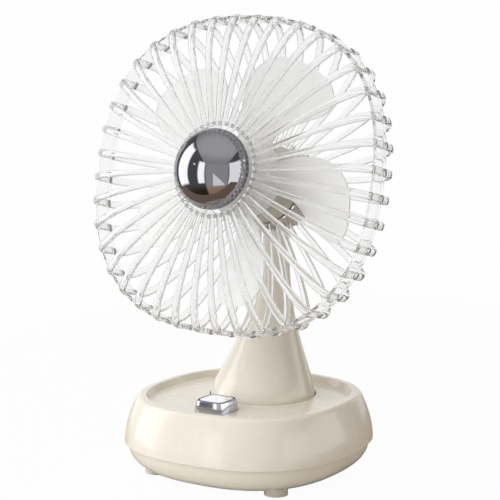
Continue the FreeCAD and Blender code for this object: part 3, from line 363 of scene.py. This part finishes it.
# effects shared by several finishes
def shaderGroup(name, inputs, outputs):
    group = bpy.data.node_groups.new(name, "ShaderNodeTree")
    for key, kind, value in inputs:
        socket = group.interface.new_socket(name=key, in_out="INPUT", socket_type=kind)
        socket.default_value = value
    for key, kind in outputs:
        group.interface.new_socket(name=key, in_out="OUTPUT", socket_type=kind)
    given = addNode(group, "NodeGroupInput")
    out = addNode(group, "NodeGroupOutput")
    return group, {s.name: s for s in given.outputs if s.name}, {s.name: s for s in out.inputs if s.name}


def noiseField(tree, scale, detail, roughness=0.5):
    spot = addNode(tree, "ShaderNodeTexCoord").outputs["Object"]
    noise = addNode(tree, "ShaderNodeTexNoise")
    tree.links.new(spot, noise.inputs["Vector"])
    feed(tree, noise.inputs["Scale"], scale)
    noise.inputs["Detail"].default_value = detail
    noise.inputs["Roughness"].default_value = roughness
    return noise.outputs[0]


def ranged(tree, value, low, high, start=0.3, end=0.7):
    node = addNode(tree, "ShaderNodeMapRange")
    feed(tree, node.inputs["Value"], value)
    feed(tree, node.inputs["From Min"], start)
    feed(tree, node.inputs["From Max"], end)
    feed(tree, node.inputs["To Min"], low)
    feed(tree, node.inputs["To Max"], high)
    return node.outputs["Result"]


def mixed(tree, factor, first, second):  # the colour sockets are 6 and 7 in, and 2 out
    node = addNode(tree, "ShaderNodeMix", data_type="RGBA")
    feed(tree, node.inputs[0], factor)
    feed(tree, node.inputs[6], first)
    feed(tree, node.inputs[7], second)
    return node.outputs[2]


def makeSkinGroup():  # what moulding leaves: a little mottle, faint flow, and a fine peel
    smudgeShare, flowShare = 3.7, 0.8  # scales, beside the mottle's
    peelShare = 0.35  # the peel's height, beside the flow's
    group, given, out = shaderGroup(
        "mouldedSkin",
        [("Colour", "NodeSocketColor", (0.8, 0.8, 0.8, 1)),
         ("Deep colour", "NodeSocketColor", (0.7, 0.7, 0.7, 1)),
         ("Mottle scale", "NodeSocketFloat", 40.0), ("Peel scale", "NodeSocketFloat", 900.0),
         ("Smoothest", "NodeSocketFloat", 0.2), ("Roughest", "NodeSocketFloat", 0.3)],
        [("Colour", "NodeSocketColor"), ("Roughness", "NodeSocketFloat"), ("Height", "NodeSocketFloat")])
    broad = noiseField(group, given["Mottle scale"], detail=3.0)
    group.links.new(mixed(group, ranged(group, broad, 0.0, 1.0), given["Colour"], given["Deep colour"]),
                    out["Colour"])
    smudge = noiseField(group, calc(group, "MULTIPLY", given["Mottle scale"], smudgeShare), detail=5.0,
                        roughness=0.6)
    group.links.new(ranged(group, smudge, given["Smoothest"], given["Roughest"]), out["Roughness"])
    peel = noiseField(group, given["Peel scale"], detail=2.0)
    flow = noiseField(group, calc(group, "MULTIPLY", given["Mottle scale"], flowShare), detail=1.0)
    group.links.new(calc(group, "ADD", calc(group, "MULTIPLY", peel, peelShare), flow), out["Height"])
    return group


def makeGrainGroup():  # fine brushed or drawn lines along one axis, for metal
    squeeze = 0.08  # draws the lines out
    blotchShare = 0.2  # the blotches' scale, beside the lines'
    group, given, out = shaderGroup(
        "drawnGrain",
        [("Colour", "NodeSocketColor", (0.6, 0.6, 0.6, 1)),
         ("Dull colour", "NodeSocketColor", (0.5, 0.5, 0.5, 1)),
         ("Scale", "NodeSocketFloat", 500.0), ("Smoothest", "NodeSocketFloat", 0.25),
         ("Roughest", "NodeSocketFloat", 0.45)],
        [("Colour", "NodeSocketColor"), ("Roughness", "NodeSocketFloat"), ("Height", "NodeSocketFloat")])
    spot = addNode(group, "ShaderNodeTexCoord").outputs["Object"]
    stretch = addNode(group, "ShaderNodeMapping")
    stretch.inputs["Scale"].default_value = (1, 1, squeeze)
    group.links.new(spot, stretch.inputs["Vector"])
    lines = addNode(group, "ShaderNodeTexNoise")
    group.links.new(stretch.outputs[0], lines.inputs["Vector"])
    group.links.new(given["Scale"], lines.inputs["Scale"])
    lines.inputs["Detail"].default_value = 3.0
    blotch = noiseField(group, calc(group, "MULTIPLY", given["Scale"], blotchShare), detail=3.0)
    group.links.new(mixed(group, ranged(group, blotch, 0.0, 1.0), given["Colour"], given["Dull colour"]),
                    out["Colour"])
    group.links.new(ranged(group, lines.outputs[0], given["Smoothest"], given["Roughest"]), out["Roughness"])
    group.links.new(lines.outputs[0], out["Height"])
    return group


skinGroup = makeSkinGroup()
grainGroup = makeGrainGroup()
reliefDepth = {"skin": 0.00008, "metal": 0.00005}  # metres


def newMaterial(name, group, values, bump, settings):  # group values by name, and the shader's own values
    material = bpy.data.materials.new(name)
    material.use_nodes = True
    tree = material.node_tree
    shader = tree.nodes["Principled BSDF"]
    effect = addNode(tree, "ShaderNodeGroup", node_tree=group)
    for key, value in values.items():
        effect.inputs[key].default_value = value
    tree.links.new(effect.outputs["Colour"], shader.inputs["Base Color"])
    tree.links.new(effect.outputs["Roughness"], shader.inputs["Roughness"])
    relief = addNode(tree, "ShaderNodeBump")
    relief.inputs["Strength"].default_value = bump["strength"]
    relief.inputs["Distance"].default_value = bump["depth"]
    tree.links.new(effect.outputs["Height"], relief.inputs["Height"])
    tree.links.new(relief.outputs["Normal"], shader.inputs["Normal"])
    for key, value in settings.items():
        shader.inputs[key].default_value = value
    return material


def skinFinish(name, colour, deep, smoothest, roughest, strength=0.25, mottle=30.0, peel=900.0, **settings):
    return newMaterial(name, skinGroup,
                       {"Colour": (*colour, 1), "Deep colour": (*deep, 1), "Mottle scale": mottle,
                        "Peel scale": peel, "Smoothest": smoothest, "Roughest": roughest},
                       {"strength": strength, "depth": reliefDepth["skin"]}, settings)


def metalFinish(name, colour, dull, smoothest, roughest, scale=500.0, strength=0.15):
    return newMaterial(name, grainGroup,
                       {"Colour": (*colour, 1), "Dull colour": (*dull, 1), "Scale": scale,
                        "Smoothest": smoothest, "Roughest": roughest},
                       {"strength": strength, "depth": reliefDepth["metal"]}, {"Metallic": 1.0})


def letLampsThrough(material, tint):  # clear plastic casts only a faint shadow
    tree = material.node_tree
    gap = addNode(tree, "ShaderNodeBsdfTransparent")
    gap.inputs["Color"].default_value = (*tint, 1)
    mix = addNode(tree, "ShaderNodeMixShader")
    tree.links.new(addNode(tree, "ShaderNodeLightPath").outputs["Is Shadow Ray"], mix.inputs[0])
    tree.links.new(tree.nodes["Principled BSDF"].outputs[0], mix.inputs[1])
    tree.links.new(gap.outputs[0], mix.inputs[2])
    tree.links.new(mix.outputs[0], tree.nodes["Material Output"].inputs["Surface"])


print("finishes")
ivoryPlastic = skinFinish("ivoryPlastic", (0.83, 0.785, 0.695), (0.81, 0.76, 0.665), 0.2, 0.3, strength=0.06,
                          **{"Coat Weight": 0.3, "Coat Roughness": 0.06, "Specular IOR Level": 0.3})
# the pod's beige is darkened: painted shade, for the shade it sits in behind the blades and guard
shadedPodPlastic = skinFinish("shadedPodPlastic", (0.50, 0.46, 0.39), (0.47, 0.43, 0.36), 0.18, 0.28,
                        **{"Coat Weight": 0.2, "Coat Roughness": 0.06})
clearPlastic = skinFinish("clearPlastic", (0.955, 0.955, 0.955), (0.93, 0.93, 0.93), 0.01, 0.03,
                          strength=0.02, mottle=60.0, peel=200.0,
                          **{"Transmission Weight": 0.93, "IOR": 1.34})
thinClear = skinFinish("thinClear", (0.965, 0.965, 0.965), (0.945, 0.945, 0.945), 0.02, 0.05,
                       strength=0.05, mottle=60.0, peel=300.0, **{"Transmission Weight": 0.97, "IOR": 1.09})
# grey glass for the hub dimples: painted shade, for the dark spots at the rib roots
paintedShadeClear = skinFinish("paintedShadeClear", (0.60, 0.60, 0.62), (0.50, 0.50, 0.52), 0.05, 0.1,
                        strength=0.05, mottle=60.0, peel=300.0, **{"Transmission Weight": 1.0, "IOR": 1.25})
bladePlastic = skinFinish("bladePlastic", (0.965, 0.965, 0.965), (0.945, 0.945, 0.945), 0.3, 0.42,
                          strength=0.1, mottle=20.0, peel=500.0,
                          **{"Transmission Weight": 0.5, "IOR": 1.35})
lampTint = {"clear": (0.995, 0.995, 0.995), "blade": (0.75, 0.75, 0.75)}
for clear in (clearPlastic, thinClear, paintedShadeClear):
    letLampsThrough(clear, lampTint["clear"])
letLampsThrough(bladePlastic, lampTint["blade"])
plated = {"scale": 120.0, "strength": 0.02}
chromePlate = metalFinish("chromePlate", (0.55, 0.55, 0.61), (0.51, 0.51, 0.57), 0.15, 0.2, **plated)
# a near-white chrome for the button's top plate, brighter than its side: painted highlight
paintedHighlightChrome = metalFinish("paintedHighlightChrome", (0.97, 0.98, 1.0), (0.95, 0.965, 0.99), 0.12, 0.16, **plated)
# a near-black chrome for the button's groove: painted shade
paintedShadeChrome = metalFinish("paintedShadeChrome", (0.10, 0.10, 0.12), (0.06, 0.06, 0.07), 0.1, 0.2, **plated)
darkChrome = metalFinish("darkChrome", (0.30, 0.295, 0.32), (0.265, 0.26, 0.28), 0.015, 0.04, **plated)
padRubber = skinFinish("padRubber", (0.72, 0.69, 0.62), (0.66, 0.63, 0.56), 0.5, 0.7,
                       strength=0.5, mottle=80.0, peel=1600.0)
blackPlastic = skinFinish("blackPlastic", (0.03, 0.03, 0.033), (0.02, 0.02, 0.022), 0.4, 0.6,
                          strength=0.5, mottle=80.0, peel=1500.0)
whiteNylon = skinFinish("whiteNylon", (0.78, 0.77, 0.72), (0.72, 0.70, 0.64), 0.35, 0.5,
                        strength=0.3, mottle=60.0, peel=1200.0)
zincSteel = metalFinish("zincSteel", (0.62, 0.62, 0.63), (0.50, 0.49, 0.46), 0.25, 0.45)
platedSteel = metalFinish("platedSteel", (0.68, 0.68, 0.69), (0.60, 0.60, 0.60), 0.18, 0.35)
springSteel = metalFinish("springSteel", (0.50, 0.50, 0.52), (0.42, 0.42, 0.43), 0.2, 0.4, scale=900.0)
castIron = metalFinish("castIron", (0.16, 0.16, 0.165), (0.10, 0.095, 0.09), 0.5, 0.8,
                       scale=300.0, strength=0.6)
cellWrap = skinFinish("cellWrap", (0.03, 0.13, 0.30), (0.025, 0.11, 0.26), 0.2, 0.35,
                      strength=0.2, mottle=50.0, peel=700.0)
greenBoard = skinFinish("greenBoard", (0.01, 0.14, 0.05), (0.02, 0.20, 0.08), 0.3, 0.45,
                        strength=0.4, mottle=220.0, peel=1800.0)
copperWire = metalFinish("copperWire", (0.60, 0.24, 0.10), (0.45, 0.16, 0.06), 0.25, 0.4,
                         scale=1500.0, strength=0.6)
bronze = metalFinish("bronze", (0.45, 0.29, 0.12), (0.36, 0.22, 0.09), 0.35, 0.55,
                     scale=700.0, strength=0.3)

finishOf = {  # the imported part's slots and the finish that each one shows
    "ivory_shell": ivoryPlastic, "beige_pod": shadedPodPlastic, "clear_guard": clearPlastic,
    "white_blades": bladePlastic, "chrome_trim": chromePlate, "foot_rubber": padRubber,
    "dark_plastic": blackPlastic, "nylon": whiteNylon, "steel_screws": zincSteel, "bright_steel": platedSteel,
    "spring_steel": springSteel, "ballast_iron": castIron, "cell_wrap": cellWrap, "circuit_board": greenBoard,
    "copper_wire": copperWire, "bronze_bearing": bronze}
for part in frame["record"]["subparts"]:
    piece = frame["nodes"][part["node"]]
    piece.data.materials.clear()
    piece.data.materials.append(finishOf[part["material_slot"]])

print("guards")
outline = {"Half width": 96.0, "Half height": 94.4, "Power": 2.42}
ribSizes = dict(outline, **{
    "Ribs": 40, "Samples": 44, "Root": 26.0, "Proud": -1.0, "Crown": 26.2, "Shoulder": 10.8, "Lobe end": 1.8,
    "Dome power": 2.6, "Lobe share": 0.2, "Width": 3.2, "Depth": 3.2, "Corner": 1.25, "Corner steps": 3,
    "Root spread": 0.9, "Rim spread": 1.5, "Spread power": 1.6, "End share": 0.05, "End size": 0.3})
rearSizes = dict(ribSizes, **{
    "Crown": -29.8, "Shoulder": -5.2, "Lobe end": -1.6, "Lobe share": 0.12, "Proud": -0.6})
bandSizes = dict(outline, **{
    "Points": 160, "Back": 0.6, "Front": 11.3, "Wall": 2.0, "Corner": 0.7, "Corner steps": 3})
rearBandSizes = dict(bandSizes, **{"Back": -2.0, "Front": 0.3})
dimpleSizes = {"Count": 40, "Circle": 27.4, "Forward": 27.2, "Ring": 0.9, "Ring points": 12, "Bead": 0.28,
               "Bead points": 6}
hubRing = {"bore": 19.0, "outer": 27.8, "back": 24.7, "front": 27.9, "edge": 0.6, "edgeSteps": 4,
           "points": 120}
rearHub = dict(hubRing, bore=9.0, outer=28.4, back=-31.6, front=-29.0, edge=0.5)
ribs = ribTree(ribSizes)
band = bandTree(bandSizes)
dimples = dimpleTree(dimpleSizes)
toHead = headMatrix @ Matrix.Scale(mm, 4)
frontMesh = joinedMesh("frontGuardShell", [
    (grownMesh("frontRibs", ribs, ribSizes, clearPlastic, toHead), 0),
    (grownMesh("frontBand", band, bandSizes, thinClear, toHead), 1),
    (grownMesh("hubDimples", dimples, dimpleSizes, paintedShadeClear, toHead), 2),
    (turnedMesh("hubRing", ringProfile(hubRing), hubRing["points"]), 1)])
place("frontGuardShell", frontMesh, "head", [clearPlastic, thinClear, paintedShadeClear],
      ["front_guard"])
rearMesh = joinedMesh("rearGuardShell", [
    (grownMesh("rearRibs", ribs, rearSizes, clearPlastic, toHead), 0),
    (grownMesh("rearBand", band, rearBandSizes, thinClear, toHead), 1),
    (turnedMesh("rearHub", ringProfile(rearHub), rearHub["points"]), 1)])
place("rearGuardShell", rearMesh, "head", [clearPlastic, thinClear], ["rear_guard"])

print("cap")
cap = {"radius": 23.9, "height": 20.6, "base": 27.9, "edge": 0.5, "edgeEnd": -15, "edgeSteps": 4, "wall": 1.4,
       "pole": 0.01, "outerSteps": 40, "innerSteps": 20, "points": 160}
capInside = cap["radius"] - cap["wall"]
capFoot = cap["base"] + cap["edge"]
outerDome = domeProfile(cap["radius"], cap["height"] - cap["edge"], capFoot, cap["pole"], cap["outerSteps"])
edgeTurn = roundCorner((cap["radius"] - cap["edge"], capFoot), cap["edge"], -90, cap["edgeEnd"],
                       cap["edgeSteps"])
innerDome = domeProfile(capInside, cap["height"] - cap["wall"], capFoot, cap["pole"], cap["innerSteps"])
capProfile = edgeTurn + outerDome + innerDome[::-1] + [(capInside, cap["base"])]
capMesh = turnedMesh("frontCap", capProfile, cap["points"])
place("frontCap", capMesh, "head", [darkChrome], ["guard_cap"])

print("button")
button = {"y": -36.7, "half": 10.75, "power": 4.2, "points": 96, "top": 51.0, "low": 41.0, "wall": 1.6,
          "from": 44.5, "bulge": 24.0, "roll": 0.5, "rollDrop": 0.05, "groove": 0.5, "grooveInset": 0.15,
          "grooveWidth": 1.0, "grooveLean": 0.03, "outerLip": 0.06, "innerLip": 0.04, "plateGap": 0.12,
          "dish": 0.15}
wallShares = (0.0, 0.15, 0.3, 0.45, 0.6, 0.75, 0.9, 1.0)
rollAngles = (0.4, 0.8, 1.2, 1.5)
plateShares = (1.0, 0.85, 0.7, 0.55, 0.4, 0.25, 0.1, 0.01)

# the profile is pairs of how far in and how high, from the open foot round the outside to the plate's middle
top, half, roll = button["top"], button["half"], button["roll"]
wallTop = top - roll - button["rollDrop"]
buttonProfile = [(button["wall"], button["low"]), (0.0, button["low"])]
for share in wallShares:  # the side leans in a little more with height
    rise = share * (wallTop - button["from"])
    inward = button["bulge"] - math.sqrt(button["bulge"] ** 2 - rise ** 2)
    buttonProfile.append((inward, button["from"] + rise))
lean = buttonProfile[-1][0]
buttonProfile += [(lean + roll * (1 - math.cos(a)), wallTop + roll * math.sin(a)) for a in rollAngles]
grooveStart = len(buttonProfile)
outer = lean + roll + button["grooveInset"]
inner = outer + button["grooveWidth"]
grooveFloor = top - button["groove"]
buttonProfile += [(outer, top - button["outerLip"]), (outer + button["grooveLean"], grooveFloor),
                  (inner - button["grooveLean"], grooveFloor), (inner, top - button["innerLip"])]
plateStart = len(buttonProfile) - 1
plateReach = half - inner - button["plateGap"]
buttonProfile += [(half - plateReach * share, top - button["dish"] * (1 - share ** 2))
                  for share in plateShares]
buttonRings = [squareRing(half - inset, button["power"], z, button["y"]) for inset, z in buttonProfile]
buttonMesh = meshFrom("pushButton", *ringStack(buttonRings, button["points"]))
# the groove's chrome carries painted shade, and the plate's a painted highlight
for face, polygon in enumerate(buttonMesh.polygons):  # 0 is the side and inside, 1 the groove, 2 the plate
    span = face // button["points"]
    if span < grooveStart or polygon.center.z < (button["low"] + 1) * mm:
        polygon.material_index = 0
    elif span < plateStart:
        polygon.material_index = 1
    else:
        polygon.material_index = 2
place("pushButton", buttonMesh, "button", [chromePlate, paintedShadeChrome, paintedHighlightChrome],
      ["button_cap"])

print("camera and light")
view = {"azimuth": 32.235, "elevation": 8.661, "distance": 0.973886, "lens": 116.078, "sensor": 36,
        "height": 0.135511, "aside": 0.000281, "nearest": 0.05, "farthest": 20}
azimuth, elevation = math.radians(view["azimuth"]), math.radians(view["elevation"])
back = Vector((math.sin(azimuth) * math.cos(elevation), -math.cos(azimuth) * math.cos(elevation),
               math.sin(elevation)))
right = Vector((math.cos(azimuth), math.sin(azimuth), 0))
lens = bpy.data.cameras.new("camera")
lens.lens = view["lens"]
lens.sensor_width = view["sensor"]
lens.clip_start = view["nearest"]
lens.clip_end = view["farthest"]
camera = bpy.data.objects.new("camera", lens)
bpy.context.scene.collection.objects.link(camera)
camera.location = Vector((0, 0, view["height"])) + right * view["aside"] + back * view["distance"]
camera.rotation_mode = "QUATERNION"
camera.rotation_quaternion = (-back).to_track_quat("-Z", "Y")
bpy.context.scene.camera = camera


def paneLight(name, spot, aim, width, height, power, colour):
    data = bpy.data.lights.new(name, "AREA")
    data.shape = "RECTANGLE"
    data.size = width
    data.size_y = height
    data.energy = power
    data.color = colour
    pane = bpy.data.objects.new(name, data)
    bpy.context.scene.collection.objects.link(pane)
    pane.location = spot
    pane.rotation_mode = "QUATERNION"
    pane.rotation_quaternion = (Vector(aim) - Vector(spot)).to_track_quat("-Z", "Y")
    pane.visible_glossy = False  # gloss shows the studio panes below instead
    pane.visible_transmission = False


lamps = {  # place, aim, width and height in metres, then watts and colour
    "softLeft": ((-1.0, -0.74, 0.32), (0, 0, 0.12), 0.85, 1.1, 3.2, (1, 1, 1)),
    "stripLeft": ((-0.52, -1.25, 0.22), (0, 0, 0.1), 0.3, 0.62, 3.1, (1, 1, 1)),
    "softRight": ((1.2, -0.42, 0.3), (0, 0, 0.15), 0.8, 1.0, 0.4, (1, 0.9, 0.75)),
    "topSoft": ((-0.35, -0.75, 1.25), (0, 0, 0.05), 1.5, 1.0, 6.6, (1, 0.995, 0.985))}
for name, values in lamps.items():
    paneLight(name, *values)

print("studio")
air = {"side": 0.62, "low": 0.2, "high": 0.95, "ahead": 0.99, "through": 0.68, "rightShade": 0.58}
tints = {"plain": (1, 1, 1, 1), "side": (1, 0.9, 0.74, 1), "under": (1, 0.62, 0.42, 1)}
up, ahead, aside = (0, 0, 1), tuple(-back), tuple(right)
fades = {  # where a blend starts and ends, as the dot product of the ray and an axis
    "raised": (0.15, 0.95), "above": (-0.25, 0.1), "rightShade": (-0.2, 0.9), "ahead": (0.6, 0.96),
    "bent": (0.8, 0.98), "wall": (-0.75, -0.35), "ceilingLow": (0.337, 0.367), "ceilingSide": (-0.02, 0.03),
    "ceilingMiddle": (0.42, 0.8), "ceilingFront": (-0.2, 0.85), "warmUnder": (-0.45, -0.75),
    "warmSide": (-0.1, 0.7)}
world = bpy.data.worlds.new("studio")
bpy.context.scene.world = world
world.use_nodes = True
airTree = world.node_tree
airTree.nodes.clear()
path = addNode(airTree, "ShaderNodeLightPath")
toward = addNode(airTree, "ShaderNodeTexCoord").outputs["Generated"]


def dotWith(axis):
    along = addNode(airTree, "ShaderNodeVectorMath", operation="DOT_PRODUCT")
    airTree.links.new(toward, along.inputs[0])
    along.inputs[1].default_value = axis
    return along.outputs["Value"]


def eased(value, start, end):
    share = addNode(airTree, "ShaderNodeMapRange", interpolation_type="SMOOTHSTEP")
    feed(airTree, share.inputs["Value"], value)
    feed(airTree, share.inputs["From Min"], start)
    feed(airTree, share.inputs["From Max"], end)
    return share.outputs["Result"]


def facing(axis, fade):  # how far the ray points along an axis, from none to all
    return eased(dotWith(axis), *fades[fade])


def product(first, *others):
    for other in others:
        first = calc(airTree, "MULTIPLY", first, other)
    return first


def lessOne(value):
    return calc(airTree, "SUBTRACT", 1.0, value)


def larger(*values):
    first, *others = values
    for other in others:
        first = calc(airTree, "MAXIMUM", first, other)
    return first


def blendTo(share, below, above):
    return calc(airTree, "ADD", product(below, lessOne(share)), product(above, share))


# what lights the fan: white beyond it, darker to the sides and behind the camera
raised = product(facing(up, "raised"), air["high"] - air["side"])
above = product(facing(up, "above"), air["side"] - air["low"])
walls = calc(airTree, "ADD", calc(airTree, "ADD", raised, above), air["low"])
shade = lessOne(product(facing(aside, "rightShade"), air["rightShade"]))
level = blendTo(facing(ahead, "ahead"), product(walls, shade), air["ahead"])
bent = blendTo(facing(ahead, "bent"), air["through"], air["ahead"])  # what clear plastic bends into view

# what gloss shows: panes of light round the fan, placed in degrees to the right of the camera and up
degree = math.degrees(1)
towardCamera = dotWith((math.sin(azimuth), -math.cos(azimuth), 0))
bearing = product(calc(airTree, "ARCTAN2", dotWith(aside), towardCamera), degree)
height = product(calc(airTree, "ARCSINE", dotWith(up)), degree)


def between(value, low, high, soft):
    return product(eased(value, low - soft, low + soft), lessOne(eased(value, high - soft, high + soft)))


studio = {"below": 0.07, "wall": 0.2, "ceilingBack": 0.34, "ceilingFront": 0.85, "ceilingEdge": 0.8,
          "ceilingGain": 0.4}
# bearings, heights, strength and softness of each pane
panes = {"left": ((-120, -85), (-22, 41), 3.4, 3.0), "strip": ((-55, -38), (-23, 24), 3.2, 2.5),
         "pillar": ((-35, 29), (-60, 24), 0.75, 2.5), "right": ((32, 112), (-32, 23), 2.4, 2.5)}
gloss = blendTo(facing(up, "wall"), studio["below"], studio["wall"])
for bearings, heights, strength, soft in panes.values():
    inside = product(between(bearing, *bearings, soft), between(height, *heights, soft))
    gloss = blendTo(inside, gloss, strength)

# a bright three-sided patch low in front of the camera
patch = {"left": (-16, -14), "slope": 0.86, "slant": (-11.5, -14.5), "bottom": (-34, -32), "strength": 1.9}
slanted = calc(airTree, "ADD", height, product(bearing, patch["slope"]))
inPatch = product(eased(bearing, *patch["left"]), eased(slanted, *patch["slant"]),
                  eased(height, *patch["bottom"]))
gloss = blendTo(inPatch, gloss, patch["strength"])

# a ceiling pane with two slanting sides, brighter towards the camera and in its middle
ceilingSides = ((1, 0.28, 0.964), (-1, -0.6, 1.342))
overCamera = tuple((back + Vector(up)).normalized())
ceiling = product(*(facing(side, "ceilingSide") for side in ceilingSides), facing(up, "ceilingLow"))
gain = product(facing(up, "ceilingMiddle"), studio["ceilingGain"])
middle = calc(airTree, "ADD", studio["ceilingEdge"], gain)
ceilingLevel = blendTo(facing(overCamera, "ceilingFront"), studio["ceilingBack"], studio["ceilingFront"])
gloss = blendTo(ceiling, gloss, product(ceilingLevel, middle))

# the white backdrop beyond the fan
backdrop = {"side": (130, 138), "top": (20, 26)}
beyond = product(eased(calc(airTree, "ABSOLUTE", bearing), *backdrop["side"]),
                 lessOne(eased(height, *backdrop["top"])))
gloss = blendTo(beyond, gloss, air["ahead"])

direct = calc(airTree, "LESS_THAN", path.outputs["Diffuse Depth"], 0.5)  # only what gloss shows to the eye
level = blendTo(product(path.outputs["Is Glossy Ray"], direct), level, gloss)
level = blendTo(path.outputs["Is Transmission Ray"], level, bent)
seenLevel = larger(level, product(path.outputs["Is Camera Ray"], air["ahead"]))
sharp = larger(*(path.outputs[f"Is {kind} Ray"] for kind in ("Camera", "Glossy", "Transmission")))
under = product(facing(up, "warmUnder"), path.outputs["Is Glossy Ray"])  # brown under everything in the gloss
warmSide = product(facing(aside, "warmSide"), lessOne(sharp))  # warm shade on the right
sideTint = mixed(airTree, warmSide, tints["plain"], tints["side"])
sky = addNode(airTree, "ShaderNodeBackground")
airTree.links.new(mixed(airTree, under, sideTint, tints["under"]), sky.inputs["Color"])
airTree.links.new(seenLevel, sky.inputs["Strength"])
skyOut = addNode(airTree, "ShaderNodeOutputWorld")
airTree.links.new(sky.outputs[0], skyOut.inputs["Surface"])

print("floor")
ground = {"near": -0.17, "far": 0.6, "half": 0.4, "glow": 0.975, "roughness": 0.9,
          "paint": (0.8, 0.795, 0.78, 1), "inGloss": (0.36, 0.26, 0.20, 1)}
floorCorners = [(x, y, 0) for x, y in ((-ground["half"], ground["near"]), (ground["half"], ground["near"]),
                                       (ground["half"], ground["far"]), (-ground["half"], ground["far"]))]
floorMesh = meshFrom("floor", floorCorners, [(0, 1, 2, 3)], smooth=False)
floorFinish = bpy.data.materials.new("paleFloor")
floorFinish.use_nodes = True
floorTree = floorFinish.node_tree
floorShader = floorTree.nodes["Principled BSDF"]
floorShader.inputs["Roughness"].default_value = ground["roughness"]
glow = addNode(floorTree, "ShaderNodeEmission")
glow.inputs["Color"].default_value = (air["ahead"], air["ahead"], air["ahead"], 1)
rayKind = addNode(floorTree, "ShaderNodeLightPath").outputs
paint = mixed(floorTree, rayKind["Is Glossy Ray"], ground["paint"], ground["inGloss"])
floorTree.links.new(paint, floorShader.inputs["Base Color"])
floorSeen = calc(floorTree, "MAXIMUM", rayKind["Is Camera Ray"], rayKind["Is Transmission Ray"])
floorMix = addNode(floorTree, "ShaderNodeMixShader")
floorTree.links.new(calc(floorTree, "MULTIPLY", floorSeen, ground["glow"]), floorMix.inputs[0])
floorTree.links.new(floorShader.outputs[0], floorMix.inputs[1])
floorTree.links.new(glow.outputs[0], floorMix.inputs[2])
floorTree.links.new(floorMix.outputs[0], floorTree.nodes["Material Output"].inputs["Surface"])
floorMesh.materials.append(floorFinish)
floor = bpy.data.objects.new("floor", floorMesh)
bpy.context.scene.collection.objects.link(floor)

bpy.context.scene.view_settings.view_transform = "Standard"
